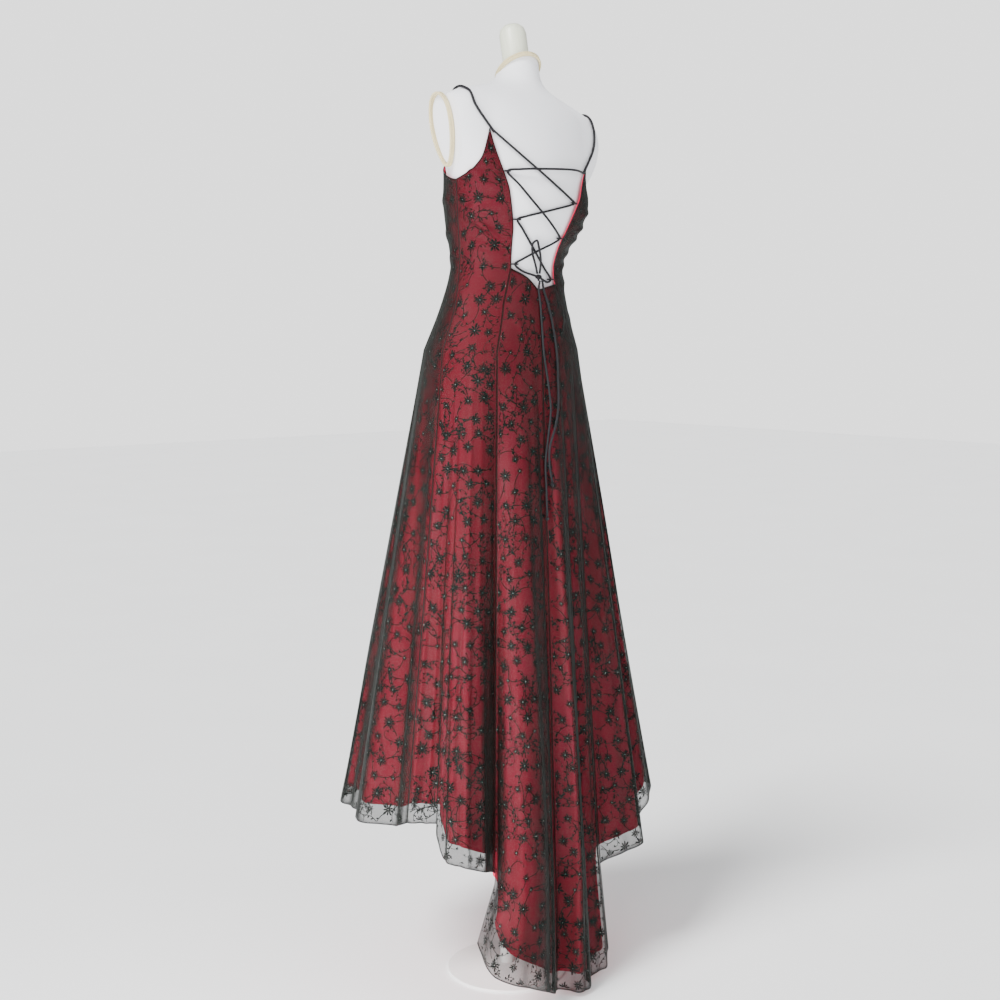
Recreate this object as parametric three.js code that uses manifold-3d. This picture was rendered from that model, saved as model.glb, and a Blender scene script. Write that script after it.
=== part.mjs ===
// Floor-length prom dress with a short train, on a limbless dress form with its stand.
// Millimetres, +Z up. The figure faces -Y and its left side is +X.
// The origin is the middle of the stand's foot, on the floor.

import * as THREE from 'three';
import { mergeVertices } from 'three/addons/utils/BufferGeometryUtils.js';
import Module from 'manifold-3d';

// Heights above the floor.
const WAIST = 1470;
const HIP = 1306;
const HEM_LEVEL = 370;
const TRAIN_TURN = 262;
const FORM_BOTTOM = 1130;

// Cloth: wall thickness of each layer, room between them and round the form.
const WALL = 1.0;
const SEAM_GAP = 0.34;
const BODICE_EASE = 6;
const LAYER_GAP_TOP = 0.6;
const LAYER_GAP_HEM = 7;
const LINING_SHORTER = 35;
const SIDE_SEAM = 88;
const FRONT_SEAM = 146;
const BODICE_ROWS = 6;
const HIP_LEVELS = [1440, 1400, 1352, HIP];
const SKIRT_ROWS = 3;
const TRAIN_ROWS = 3;

// The form leans a little to its own right above the waist.
const LEAN = THREE.MathUtils.degToRad(4.5);
const LEAN_OVER = 150;

// Cords.
const STRAP_RADIUS = 2.7;
const STRAP_PLACE = { tip: 127, top: 150, bow: 10 };
const STRAP_END_LIFT = 4.2;
const LACE_RADIUS = 1.95;
const LOOP_RADIUS = 0.8;
const KNOT_RADIUS = 7.7;
const TIP_RADIUS = 4.5;

// Form and stand.
const ARM_PLANE = 174;
const ARM_SETBACK = 30;
const ARM_TURN = 12;
const ARM_TILT = 10;
const ARM_PLATE = { halfDeep: 38, halfHigh: 68, thick: 4, height: 1732, forward: -10 };
const ARM_EGG = 0.25;
const ARM_SKEW = 0.12;
const ARM_TRIM_RADIUS = 5;
const NECK_CUT = { height: 1882, tilt: 36 };
const NECK_TRIM = { halfWide: 39, halfLong: 44.4, forward: -3.2, radius: 5 };
const NECK_CAP = { radius: 28, below: 35, above: 96, tilt: 16, forward: -6 };
const POLE_RADIUS = 14;
const FOOT = { radius: 125, edge: 6, thick: 14 };
const CLEARANCE = 0.3;

// Sections of the form: half width, depth behind and before the centre, centre's place.
const BODY = [
  { z: 1130, side: 160, back: 98, front: 100, centre: 0 },
  { z: 1200, side: 164, back: 102, front: 108, centre: 0 },
  { z: 1306, side: 158, back: 99, front: 112, centre: 0 },
  { z: 1390, side: 131, back: 94, front: 104, centre: 0 },
  { z: 1470, side: 121, back: 89, front: 90, centre: 0 },
  { z: 1507, side: 124, back: 96, front: 97, centre: 3 },
  { z: 1548, side: 134, back: 108, front: 114, centre: 8 },
  { z: 1610, side: 150, back: 108, front: 128, centre: 15 },
  { z: 1650, side: 160, back: 100, front: 114, centre: 15 },
  { z: 1690, side: 173, back: 92, front: 100, centre: 15 },
  { z: 1730, side: 180, back: 85, front: 84, centre: 15 },
  { z: 1770, side: 178, back: 77, front: 68, centre: 13 },
  { z: 1800, side: 168, back: 67, front: 55, centre: 10 },
  { z: 1820, side: 128, back: 58, front: 48, centre: 6 },
  { z: 1836, side: 80, back: 52, front: 45, centre: 2 },
  { z: 1850, side: 56, back: 49, front: 44, centre: -1 },
  { z: 1871, side: 45, back: 45, front: 44, centre: -3 },
  { z: 1925, side: 41, back: 40, front: 42, centre: -8 },
];

// Sections of the dress: its own below the waist, the form's with some ease above.
const DRESS = [
  { z: 1306, side: 170, back: 110, front: 174, centre: 0 },
  { z: 1390, side: 140, back: 103, front: 136, centre: 0 },
  ...BODY.filter((row) => row.z >= WAIST).map((row) => ({
    z: row.z,
    side: row.side + BODICE_EASE,
    back: row.back + BODICE_EASE,
    front: row.front + BODICE_EASE,
    centre: row.centre,
  })),
];

// Ridges and valleys of the skirt round the hem level. line is the cloth's angle at the
// hip, from the middle of the back towards the left side; angle and radius are where
// that line of the cloth hangs at the hem.
const FOLDS = [
  { line: -180, angle: -184, radius: 352 },
  { line: -170, angle: -165, radius: 366 },
  { line: -158, angle: -151, radius: 330 },
  { line: -146, angle: -138, radius: 352 },
  { line: -134, angle: -126, radius: 322 },
  { line: -122, angle: -113, radius: 347 },
  { line: -110, angle: -101, radius: 304 },
  { line: -99, angle: -91, radius: 320 },
  { line: -88, angle: -80, radius: 300 },
  { line: -72, angle: -67, radius: 325 },
  { line: -62, angle: -61, radius: 277 },
  { line: -54, angle: -55, radius: 276 },
  { line: -45, angle: -49, radius: 232 },
  { line: -36, angle: -42, radius: 188 },
  { line: -28, angle: -35, radius: 186 },
  { line: -19, angle: -26, radius: 166 },
  { line: -10, angle: -11, radius: 190 },
  { line: 0, angle: 3, radius: 156 },
  { line: 9, angle: 14, radius: 192 },
  { line: 18, angle: 28, radius: 233 },
  { line: 27, angle: 40, radius: 222 },
  { line: 36, angle: 47, radius: 196 },
  { line: 45, angle: 50, radius: 252 },
  { line: 56, angle: 57, radius: 292 },
  { line: 65, angle: 64, radius: 294 },
  { line: 76, angle: 71, radius: 284 },
  { line: 88, angle: 79, radius: 310 },
  { line: 100, angle: 89, radius: 300 },
  { line: 112, angle: 101, radius: 340 },
  { line: 122, angle: 113, radius: 318 },
  { line: 134, angle: 127, radius: 348 },
  { line: 146, angle: 139, radius: 322 },
  { line: 158, angle: 153, radius: 364 },
  { line: 169, angle: 165, radius: 332 },
  { line: 180, angle: 176, radius: 352 },
];

// Where the lines of the train reach at floor level.
const TRAIN_FLOOR = [
  { line: -36, angle: -45, radius: 218 },
  { line: -28, angle: -36, radius: 214 },
  { line: -19, angle: -25, radius: 186 },
  { line: -10, angle: -10, radius: 214 },
  { line: 0, angle: 4, radius: 166 },
  { line: 9, angle: 15, radius: 220 },
  { line: 18, angle: 31, radius: 272 },
  { line: 27, angle: 47, radius: 336 },
  { line: 36, angle: 59, radius: 338 },
];

// Height of the outer hem, along the train and round the rest of the skirt.
const TRAIN_HEM = [
  { line: -36, z: 52 },
  { line: -28, z: 22 },
  { line: -19, z: 12 },
  { line: 0, z: 12 },
  { line: 9, z: 34 },
  { line: 18, z: 74 },
  { line: 27, z: 110 },
  { line: 36, z: 160 },
];
const SKIRT_HEM = [
  { line: 36, z: 280 },
  { line: 45, z: 303 },
  { line: 54, z: 321 },
  { line: 66, z: 333 },
  { line: 73, z: 393 },
  { line: 88, z: 394 },
  { line: 98, z: 375 },
  { line: 134, z: 368 },
  { line: 180, z: 372 },
  { line: 226, z: 370 },
  { line: 272, z: 374 },
  { line: 288, z: 362 },
  { line: 298, z: 300 },
  { line: 306, z: 262 },
  { line: 324, z: 236 },
];

// The laced back opening: angle of each edge by height. The right edge sags lower.
const LEFT_EDGE = [
  { z: 1306, line: 36 },
  { z: 1400, line: 35 },
  { z: 1471, line: 28 },
  { z: 1560, line: 33 },
  { z: 1656, line: 39.5 },
  { z: 1732, line: 45 },
];
const RIGHT_EDGE = [
  { z: 1306, line: 36 },
  { z: 1390, line: 34 },
  { z: 1440, line: 24 },
  { z: 1530, line: 24 },
  { z: 1610, line: 33 },
  { z: 1686, line: 44 },
];

// Top edge of each bodice piece, from its first seam (0) to its second (1).
const TOP_EDGES = {
  side_back_left: [
    { at: 0, z: 1730 }, { at: 0.09, z: 1709 }, { at: 0.22, z: 1683 },
    { at: 0.34, z: 1667 }, { at: 0.58, z: 1647 }, { at: 0.83, z: 1636 }, { at: 1, z: 1631 },
  ],
  side_back_right: [
    { at: 0, z: 1684 }, { at: 0.1, z: 1666 }, { at: 0.22, z: 1647 },
    { at: 0.36, z: 1633 }, { at: 0.6, z: 1617 }, { at: 1, z: 1606 },
  ],
  side_front_left: [
    { at: 0, z: 1631 }, { at: 0.12, z: 1634 }, { at: 0.35, z: 1646 },
    { at: 0.7, z: 1668 }, { at: 1, z: 1698 },
  ],
  side_front_right: [
    { at: 0, z: 1606 }, { at: 0.12, z: 1608 }, { at: 0.35, z: 1624 },
    { at: 0.7, z: 1658 }, { at: 1, z: 1698 },
  ],
  front: [
    { at: 0, z: 1698 }, { at: 0.25, z: 1650 }, { at: 0.5, z: 1618 },
    { at: 0.75, z: 1650 }, { at: 1, z: 1698 },
  ],
  centre_back_left: [{ at: 0, z: 1427 }, { at: 0.35, z: 1450 }, { at: 1, z: 1469 }],
  centre_back_right: [{ at: 0, z: 1427 }, { at: 0.5, z: 1434 }, { at: 1, z: 1439 }],
};

// How far the shoulders stand out of the form's oval sections, under the arm plates.
const SHOULDER = { out: 26, line: 82, reach: 42, height: 1745, tall: 120 };

// Slack that makes the right side of the bodice stand away from the form.
const SLACK = { out: 12, line: -62, reach: 40, height: 1585, tall: 95 };

// Lacing routes: angle and height on the form's back, and how far off it.
const LACE_FROM_LEFT = [
  { line: 42.6, z: 1724, lift: 5 },
  { line: 24, z: 1688, lift: 4.2 },
  { line: 3, z: 1648, lift: 4.2 },
  { line: -18, z: 1618, lift: 4.4 },
  { line: -28, z: 1608, lift: 5 },
  { line: -24, z: 1603, lift: 4.4 },
  { line: 2, z: 1582, lift: 4.2 },
  { line: 22, z: 1567, lift: 4.4 },
  { line: 29.4, z: 1560, lift: 5 },
  { line: 24, z: 1544, lift: 4.4 },
  { line: 6, z: 1503.5, lift: 4.2 },
  { line: -10, z: 1470, lift: 4.4 },
  { line: -18.6, z: 1449, lift: 5 },
  { line: -13, z: 1443, lift: 6 },
  { line: -3.3, z: 1449.4, lift: 9.3 },
];
const LACE_FROM_RIGHT = [
  { line: -41.4, z: 1678, lift: 5 },
  { line: -24, z: 1676, lift: 9 },
  { line: 4, z: 1665, lift: 9.2 },
  { line: 26, z: 1656, lift: 8 },
  { line: 36.4, z: 1650, lift: 5 },
  { line: 29, z: 1625, lift: 8 },
  { line: 4, z: 1568, lift: 9.2 },
  { line: -12, z: 1541, lift: 8.4 },
  { line: -19.6, z: 1532, lift: 5 },
  { line: -13, z: 1523, lift: 8.4 },
  { line: 5, z: 1503, lift: 9.4 },
  { line: 18, z: 1487, lift: 8 },
  { line: 24.6, z: 1477, lift: 5 },
  { line: 18, z: 1465, lift: 6 },
  { line: 3.3, z: 1454.6, lift: 9.3 },
];
const LOOPS = [
  { name: 'left_upper', line: 36.4, z: 1650 },
  { name: 'left_middle', line: 29.4, z: 1560 },
  { name: 'left_lower', line: 24.6, z: 1477 },
  { name: 'right_upper', line: -28, z: 1608 },
  { name: 'right_middle', line: -19.6, z: 1532 },
  { name: 'right_lower', line: -18.6, z: 1449 },
];
const KNOT = { line: 0, z: 1452, lift: 9.2 };
const BOW_LOOP = [
  { line: 1.4, z: 1459.7, lift: 9.4 },
  { line: 6, z: 1478, lift: 14.5 },
  { line: 11.5, z: 1500, lift: 15 },
  { line: 13, z: 1517, lift: 15 },
  { line: 10, z: 1523, lift: 15 },
  { line: 6.5, z: 1512, lift: 15 },
  { line: 1, z: 1488, lift: 15 },
  { line: -1.4, z: 1459.7, lift: 9.4 },
];

// Free ends of the lace over the skirt: angle on the cloth, height and clearance.
const LONG_END = [
  { line: 0.9, z: 1445.3, lift: 8.8 },
  { line: 0.7, z: 1430, lift: 2.8 },
  { line: 0.3, z: 1400, lift: 2.8 },
  { line: 0, z: 1362, lift: 2.8 },
  { line: -0.6, z: 1300, lift: 2.8 },
  { line: -3.5, z: 1244, lift: 2.8 },
  { line: -5, z: 1188, lift: 2.8 },
  { line: -2.6, z: 1135, lift: 2.8 },
  { line: 0.8, z: 1080, lift: 3.4 },
  { line: 0.4, z: 1036, lift: 2.8 },
  { line: 1.2, z: 974, lift: 5.2 },
];
const SHORT_END = [
  { line: -1.9, z: 1445.6, lift: 8.4 },
  { line: -4.6, z: 1430, lift: 3.4 },
  { line: -8, z: 1404, lift: 2.6 },
  { line: -11.4, z: 1366, lift: 2.6 },
  { line: -13, z: 1300, lift: 2.6 },
  { line: -12.6, z: 1244, lift: 2.6 },
  { line: -10.6, z: 1188, lift: 3.4 },
  { line: -6.4, z: 1148, lift: 6.6 },
  { line: -2.6, z: 1112, lift: 7.2 },
  { line: -2.4, z: 1075, lift: 6.2 },
  { line: -4.2, z: 1042, lift: 5.2 },
];

const wasm = await Module();
wasm.setup();

// A smooth curve through a table's rows: the value of one column at a place.
function tableValue(rows, key, column, at) {
  const last = rows.length - 1;
  const place = THREE.MathUtils.clamp(at, rows[0][key], rows[last][key]);
  let i = 0;
  while (i < last - 1 && rows[i + 1][key] < place) i += 1;
  const slope = (from, to) => (rows[to][column] - rows[from][column]) / (rows[to][key] - rows[from][key]);
  const span = rows[i + 1][key] - rows[i][key];
  const t = (place - rows[i][key]) / span;
  const startSlope = slope(Math.max(i - 1, 0), i + 1) * span;
  const endSlope = slope(i, Math.min(i + 2, last)) * span;
  return rows[i][column] * (1 + 2 * t) * (1 - t) ** 2 + startSlope * t * (1 - t) ** 2
    + rows[i + 1][column] * t * t * (3 - 2 * t) + endSlope * t * t * (t - 1);
}

// Straight lines through a table's rows.
function lineValue(rows, key, column, at) {
  const last = rows.length - 1;
  const place = THREE.MathUtils.clamp(at, rows[0][key], rows[last][key]);
  let i = 0;
  while (i < last - 1 && rows[i + 1][key] < place) i += 1;
  const t = (place - rows[i][key]) / (rows[i + 1][key] - rows[i][key]);
  return THREE.MathUtils.lerp(rows[i][column], rows[i + 1][column], t);
}

// The folds table with a turn added at each end, so that its curve closes.
const FOLDS_ROUND = [
  ...FOLDS.slice(-4, -1).map((row) => ({ ...row, line: row.line - 360, angle: row.angle - 360 })),
  ...FOLDS,
  ...FOLDS.slice(1, 4).map((row) => ({ ...row, line: row.line + 360, angle: row.angle + 360 })),
];

function wrapLine(line) {
  return THREE.MathUtils.euclideanModulo(line + 180, 360) - 180;
}

function polar(angle, radius) {
  const a = THREE.MathUtils.degToRad(angle);
  return new THREE.Vector2(radius * Math.sin(a), radius * Math.cos(a));
}

function bump(distance) {
  return Math.abs(distance) < 1 ? (1 - distance * distance) ** 2 : 0;
}

function shoulderAt(line, z) {
  const beside = (Math.abs(wrapLine(line)) - SHOULDER.line) / SHOULDER.reach;
  return SHOULDER.out * bump(beside) * bump((z - SHOULDER.height) / SHOULDER.tall);
}

// A point on a table's oval section, with the shoulder on it.
function sectionPoint(rows, line, z) {
  const a = THREE.MathUtils.degToRad(line);
  const depth = tableValue(rows, 'z', Math.cos(a) > 0 ? 'back' : 'front', z);
  const x = tableValue(rows, 'z', 'side', z) * Math.sin(a);
  const oval = new THREE.Vector2(x, tableValue(rows, 'z', 'centre', z) + depth * Math.cos(a));
  return oval.add(polar(line, shoulderAt(line, z)));
}

function slackAt(line, z) {
  return SLACK.out * bump((line - SLACK.line) / SLACK.reach) * bump((z - SLACK.height) / SLACK.tall);
}

// The dress's outer surface in plan. Each line of the skirt falls straight from the hip
// to its place at the hem, and the train's lines turn towards the floor.
function dressPlan(lineRound, z) {
  const line = wrapLine(lineRound);
  const top = sectionPoint(DRESS, line, Math.max(z, HIP));
  if (z >= HIP) return top.addScaledVector(polar(line, 1), slackAt(line, z));
  const fold = polar(
    tableValue(FOLDS_ROUND, 'line', 'angle', line),
    tableValue(FOLDS_ROUND, 'line', 'radius', line),
  );
  const fall = (HIP - z) / (HIP - HEM_LEVEL);
  const point = top.clone().lerp(fold, fall);
  if (z >= TRAIN_TURN) return point;
  const floor = polar(
    tableValue(TRAIN_FLOOR, 'line', 'angle', line),
    tableValue(TRAIN_FLOOR, 'line', 'radius', line),
  );
  const straight = top.clone().lerp(fold, HIP / (HIP - HEM_LEVEL));
  return point.addScaledVector(floor.sub(straight), (TRAIN_TURN - z) / TRAIN_TURN);
}

// A point on a layer that lies a distance inside a plan curve.
function insetPoint(plan, line, z, inset) {
  const step = 0.2;
  const point = plan(line, z);
  const along = plan(line + step, z).sub(plan(line - step, z)).normalize();
  return new THREE.Vector3(point.x + along.y * inset, point.y - along.x * inset, z);
}

function dressPoint(line, z, inset) {
  return insetPoint(dressPlan, line, z, inset);
}

function bodyPoint(line, z, inset) {
  return insetPoint((at, height) => sectionPoint(BODY, at, height), line, z, inset);
}

// A closed solid from an outer and an inner grid of points, rows running downwards.
function wallSolid(columns, rows, outer, inner) {
  const width = columns + 1;
  const grid = (i, j) => j * width + i;
  const side = width * (rows + 1);
  const positions = [];
  for (const face of [outer, inner]) {
    for (let j = 0; j <= rows; j += 1) {
      for (let i = 0; i <= columns; i += 1) positions.push(...face(i, j).toArray());
    }
  }
  const index = [];
  const quad = (a, b, c, d) => index.push(a, b, c, a, c, d);
  for (let j = 0; j < rows; j += 1) {
    for (let i = 0; i < columns; i += 1) {
      const [a, b, c, d] = [grid(i, j), grid(i + 1, j), grid(i + 1, j + 1), grid(i, j + 1)];
      quad(a, b, c, d);
      quad(a + side, d + side, c + side, b + side);
    }
  }
  for (let i = 0; i < columns; i += 1) {
    const [top, low] = [grid(i, 0), grid(i, rows)];
    quad(top, top + side, top + 1 + side, top + 1);
    quad(low, low + 1, low + 1 + side, low + side);
  }
  for (let j = 0; j < rows; j += 1) {
    const [start, end] = [grid(0, j), grid(columns, j)];
    quad(start, start + width, start + width + side, start + side);
    quad(end, end + side, end + width + side, end + width);
  }
  const geometry = new THREE.BufferGeometry();
  geometry.setAttribute('position', new THREE.Float32BufferAttribute(positions, 3));
  geometry.setIndex(index);
  return geometry;
}

// Everything above the waist leans with the form.
function lean(geometry) {
  const place = geometry.getAttribute('position');
  for (let i = 0; i < place.count; i += 1) {
    const rise = place.getZ(i) - WAIST;
    if (rise <= 0) continue;
    const angle = LEAN * Math.min(1, rise / LEAN_OVER);
    const x = place.getX(i);
    place.setX(i, x * Math.cos(angle) - rise * Math.sin(angle));
    place.setZ(i, WAIST + rise * Math.cos(angle) + x * Math.sin(angle));
  }
  return geometry;
}

const dress = new THREE.Group();

function addPiece(name, geometry, material) {
  const bare = geometry.clone();
  bare.deleteAttribute('normal');
  bare.deleteAttribute('uv');
  const joined = lean(mergeVertices(bare, 1e-3));
  const mesh = new THREE.Mesh(joined, material);
  mesh.geometry.computeVertexNormals();
  mesh.name = name;
  dress.add(mesh);
}

const organza = new THREE.MeshStandardMaterial({ color: 0x1c171b, roughness: 0.6 });
const satin = new THREE.MeshStandardMaterial({ color: 0xa3183a, roughness: 0.35 });
const cord = new THREE.MeshStandardMaterial({ color: 0x0d0c0e, roughness: 0.5 });
const jersey = new THREE.MeshStandardMaterial({ color: 0xf2f1ee, roughness: 0.85 });
const braid = new THREE.MeshStandardMaterial({ color: 0xe2d8bd, roughness: 0.7 });
const paint = new THREE.MeshStandardMaterial({ color: 0xf0efec, roughness: 0.4 });

// The seven pieces of a layer, each between two seams. A seam is given by its line on
// the cloth at a height; the front piece runs through the middle of the front.
const PIECES = [
  {
    name: 'centre_back_left', columns: 10, hem: TRAIN_HEM,
    first: () => 0, second: (z) => lineValue(LEFT_EDGE, 'z', 'line', z),
  },
  {
    name: 'centre_back_right', columns: 10, hem: TRAIN_HEM,
    first: (z) => -lineValue(RIGHT_EDGE, 'z', 'line', z), second: () => 0,
  },
  {
    name: 'side_back_left', columns: 9, hem: SKIRT_HEM,
    first: (z) => lineValue(LEFT_EDGE, 'z', 'line', z), second: () => SIDE_SEAM,
  },
  {
    name: 'side_back_right', columns: 10, hem: SKIRT_HEM,
    first: () => -SIDE_SEAM, second: (z) => -lineValue(RIGHT_EDGE, 'z', 'line', z),
  },
  {
    name: 'side_front_left', columns: 9, hem: SKIRT_HEM,
    first: () => SIDE_SEAM, second: () => FRONT_SEAM,
  },
  {
    name: 'side_front_right', columns: 9, hem: SKIRT_HEM,
    first: () => -FRONT_SEAM, second: () => -SIDE_SEAM,
  },
  {
    name: 'front', columns: 12, hem: SKIRT_HEM,
    first: () => FRONT_SEAM, second: () => 360 - FRONT_SEAM,
  },
];

// Places along a right-hand piece are counted from its far seam, as on the left.
function topHeight(piece, share) {
  const from = piece.name.endsWith('right') ? 1 - share : share;
  return lineValue(TOP_EDGES[piece.name], 'at', 'z', from);
}

function hemHeight(piece, line) {
  const round = piece.hem === SKIRT_HEM && line < 0 ? line + 360 : line;
  return lineValue(piece.hem, 'line', 'z', round);
}

// Heights of a piece's rows down one of its lines, the same on both sides of a seam and
// in both layers, but for the hem.
function rowHeights(piece, share, raise) {
  const top = topHeight(piece, share);
  const line = THREE.MathUtils.lerp(piece.first(HEM_LEVEL), piece.second(HEM_LEVEL), share);
  const low = hemHeight(piece, line);
  const heights = [top];
  const between = (from, to, rows) => {
    for (let k = 1; k <= rows; k += 1) heights.push(THREE.MathUtils.lerp(from, to, k / rows));
  };
  if (top > WAIST) between(top, WAIST, BODICE_ROWS);
  for (const level of HIP_LEVELS) heights.push(Math.min(level, top - 8));
  if (piece.hem === TRAIN_HEM) {
    between(HIP, TRAIN_TURN, SKIRT_ROWS - 1);
    between(TRAIN_TURN, low, TRAIN_ROWS);
  } else {
    between(HIP, low, SKIRT_ROWS);
  }
  heights[heights.length - 1] += raise;
  return heights;
}

function layerInset(z, layer) {
  if (layer === 'overlay') return 0;
  const fall = THREE.MathUtils.clamp((HIP - z) / (HIP - HEM_LEVEL), 0, 1);
  return WALL + THREE.MathUtils.lerp(LAYER_GAP_TOP, LAYER_GAP_HEM, fall);
}

// A point of a piece, kept half a seam's gap inside its two seams.
function piecePoint(piece, share, z, inset) {
  const line = THREE.MathUtils.lerp(piece.first(z), piece.second(z), share);
  const point = dressPoint(line, z, inset);
  if (share > 0 && share < 1) return point;
  const inward = share === 0 ? 1 : -1;
  const beside = dressPoint(line + inward, z, inset).sub(point).normalize();
  return point.addScaledVector(beside, SEAM_GAP / 2);
}

function pieceSolid(piece, layer) {
  const shares = Array.from({ length: piece.columns + 1 }, (_, i) => i / piece.columns);
  const raise = layer === 'lining' ? LINING_SHORTER : 0;
  const heights = shares.map((share) => rowHeights(piece, share, raise));
  const face = (depth) => (i, j) => {
    const z = heights[i][j];
    return piecePoint(piece, shares[i], z, layerInset(z, layer) + depth);
  };
  return wallSolid(piece.columns, heights[0].length - 1, face(0), face(WALL));
}

for (const [layer, material] of [['overlay', organza], ['lining', satin]]) {
  for (const piece of PIECES) addPiece(`${layer}_${piece.name}`, pieceSolid(piece, layer), material);
}

// A round cord along a smooth curve through its route.
function cordSolid(points, radius, sides, step) {
  const curve = new THREE.CatmullRomCurve3(points, false, 'centripetal');
  const section = new THREE.Shape();
  for (let i = 0; i < sides; i += 1) {
    const angle = (i / sides) * 2 * Math.PI;
    const corner = [radius * Math.cos(angle), radius * Math.sin(angle)];
    if (i === 0) section.moveTo(...corner);
    else section.lineTo(...corner);
  }
  section.closePath();
  const steps = Math.ceil(curve.getLength() / step);
  return new THREE.ExtrudeGeometry(section, { steps, extrudePath: curve, bevelEnabled: false });
}

function formRoute(rows) {
  return rows.map((row) => bodyPoint(row.line, row.z, -row.lift));
}

function skirtRoute(rows) {
  return rows.map((row) => dressPoint(row.line, row.z, -row.lift));
}

// Shoulder strap: from the point of the back piece over the shoulder to the front's.
function strapRoute(side, backTip, frontTip) {
  const lift = STRAP_RADIUS + 1.4;
  let top = 1800;
  while (tableValue(BODY, 'z', 'side', top) > STRAP_PLACE.top) top += 0.5;
  const onSide = (point) => new THREE.Vector3(side * point.x, point.y, point.z);
  const end = (tip) => onSide(bodyPoint(tip.line, tip.z, -STRAP_END_LIFT));
  const place = (tip, share, front) => {
    const z = THREE.MathUtils.lerp(tip.z, top, share);
    const aside = THREE.MathUtils.lerp(STRAP_PLACE.tip, STRAP_PLACE.top, share)
      + STRAP_PLACE.bow * Math.sin(Math.PI * share);
    const reach = Math.asin(Math.min(1, aside / tableValue(BODY, 'z', 'side', z)));
    const turn = THREE.MathUtils.radToDeg(front ? Math.PI - reach : reach);
    const up = bodyPoint(turn, z + 2, 0).sub(bodyPoint(turn, z - 2, 0)).normalize();
    const out = bodyPoint(turn, z, -1).sub(bodyPoint(turn, z, 0));
    out.addScaledVector(up, -out.dot(up)).normalize();
    return onSide(bodyPoint(turn, z, 0).addScaledVector(out, lift));
  };
  const shares = [0.35, 0.55, 0.72, 0.86, 0.95, 0.99];
  const back = shares.map((share) => place(backTip, share, false));
  const front = shares.map((share) => place(frontTip, share, true));
  return [end(backTip), ...back, ...front.reverse(), end(frontTip)];
}

const FRONT_TIP = { line: FRONT_SEAM, z: 1701 };
for (const [name, side, backTip] of [
  ['strap_left', 1, { line: 45, z: 1733 }],
  ['strap_right', -1, { line: 44, z: 1687 }],
]) {
  addPiece(name, cordSolid(strapRoute(side, backTip, FRONT_TIP), STRAP_RADIUS, 8, 12), cord);
}

addPiece('lace_from_left', cordSolid(formRoute(LACE_FROM_LEFT), LACE_RADIUS, 6, 9), cord);
addPiece('lace_from_right', cordSolid(formRoute(LACE_FROM_RIGHT), LACE_RADIUS, 6, 9), cord);

// A small loop of thin cord on the opening's edge, round the lace where it turns.
function loopRoute(place) {
  const edges = place.line > 0 ? LEFT_EDGE : RIGHT_EDGE;
  const edge = Math.sign(place.line) * lineValue(edges, 'z', 'line', place.z);
  const shares = [
    { toLace: 0.16, lift: 5.2 }, { toLace: 0.55, lift: 8.2 }, { toLace: 1, lift: 9 },
    { toLace: 1.6, lift: 7.8 }, { toLace: 1.85, lift: 5 }, { toLace: 1.6, lift: 2.4 },
    { toLace: 1, lift: 1.6 }, { toLace: 0.5, lift: 1.9 }, { toLace: 0.16, lift: 3 },
  ];
  return shares.map((share) => {
    const line = THREE.MathUtils.lerp(edge, place.line, share.toLace);
    return bodyPoint(line, place.z, -share.lift);
  });
}

for (const place of LOOPS) {
  addPiece(`edge_loop_${place.name}`, cordSolid(loopRoute(place), LOOP_RADIUS, 6, 4), cord);
}

function ballSolid(centre, radius, squeeze) {
  const ball = new THREE.SphereGeometry(radius, 10, 6);
  ball.scale(1, squeeze, 1);
  ball.translate(centre.x, centre.y, centre.z);
  return ball;
}

addPiece('lace_knot', ballSolid(bodyPoint(KNOT.line, KNOT.z, -KNOT.lift), KNOT_RADIUS, 0.8), cord);
addPiece('bow_loop', cordSolid(formRoute(BOW_LOOP), LACE_RADIUS, 6, 7), cord);

function hangingEnd(name, rows) {
  const route = skirtRoute(rows);
  addPiece(`lace_${name}_end`, cordSolid(route, LACE_RADIUS, 8, 10), cord);
  const tip = route[route.length - 1].clone();
  tip.z -= TIP_RADIUS + CLEARANCE;
  addPiece(`lace_${name}_tip`, ballSolid(tip, TIP_RADIUS, 0.8), cord);
}

hangingEnd('long', LONG_END);
hangingEnd('short', SHORT_END);

// The form: rings of its sections closed at the bottom and at the neck.
function bodySolid() {
  const around = 32;
  const heights = [];
  for (let i = 0; i < BODY.length - 1; i += 1) {
    heights.push(BODY[i].z);
    if (BODY[i + 1].z - BODY[i].z > 60) heights.push((BODY[i].z + BODY[i + 1].z) / 2);
  }
  heights.push(BODY[BODY.length - 1].z);
  const positions = [];
  for (const z of heights) {
    for (let i = 0; i < around; i += 1) {
      positions.push(...bodyPoint((i * 360) / around, z, 0).toArray());
    }
  }
  const index = [];
  const last = heights.length - 1;
  for (let j = 0; j < last; j += 1) {
    for (let i = 0; i < around; i += 1) {
      const next = (i + 1) % around;
      const [a, b] = [j * around + i, j * around + next];
      index.push(a, b + around, b, a, a + around, b + around);
    }
  }
  for (const [ring, up] of [[0, false], [last, true]]) {
    const middle = positions.length / 3;
    positions.push(0, BODY[ring === 0 ? 0 : BODY.length - 1].centre, heights[ring]);
    for (let i = 0; i < around; i += 1) {
      const [a, b] = [ring * around + i, ring * around + ((i + 1) % around)];
      index.push(middle, ...(up ? [b, a] : [a, b]));
    }
  }
  const geometry = new THREE.BufferGeometry();
  geometry.setAttribute('position', new THREE.Float32BufferAttribute(positions, 3));
  geometry.setIndex(index);
  return geometry;
}

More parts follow.
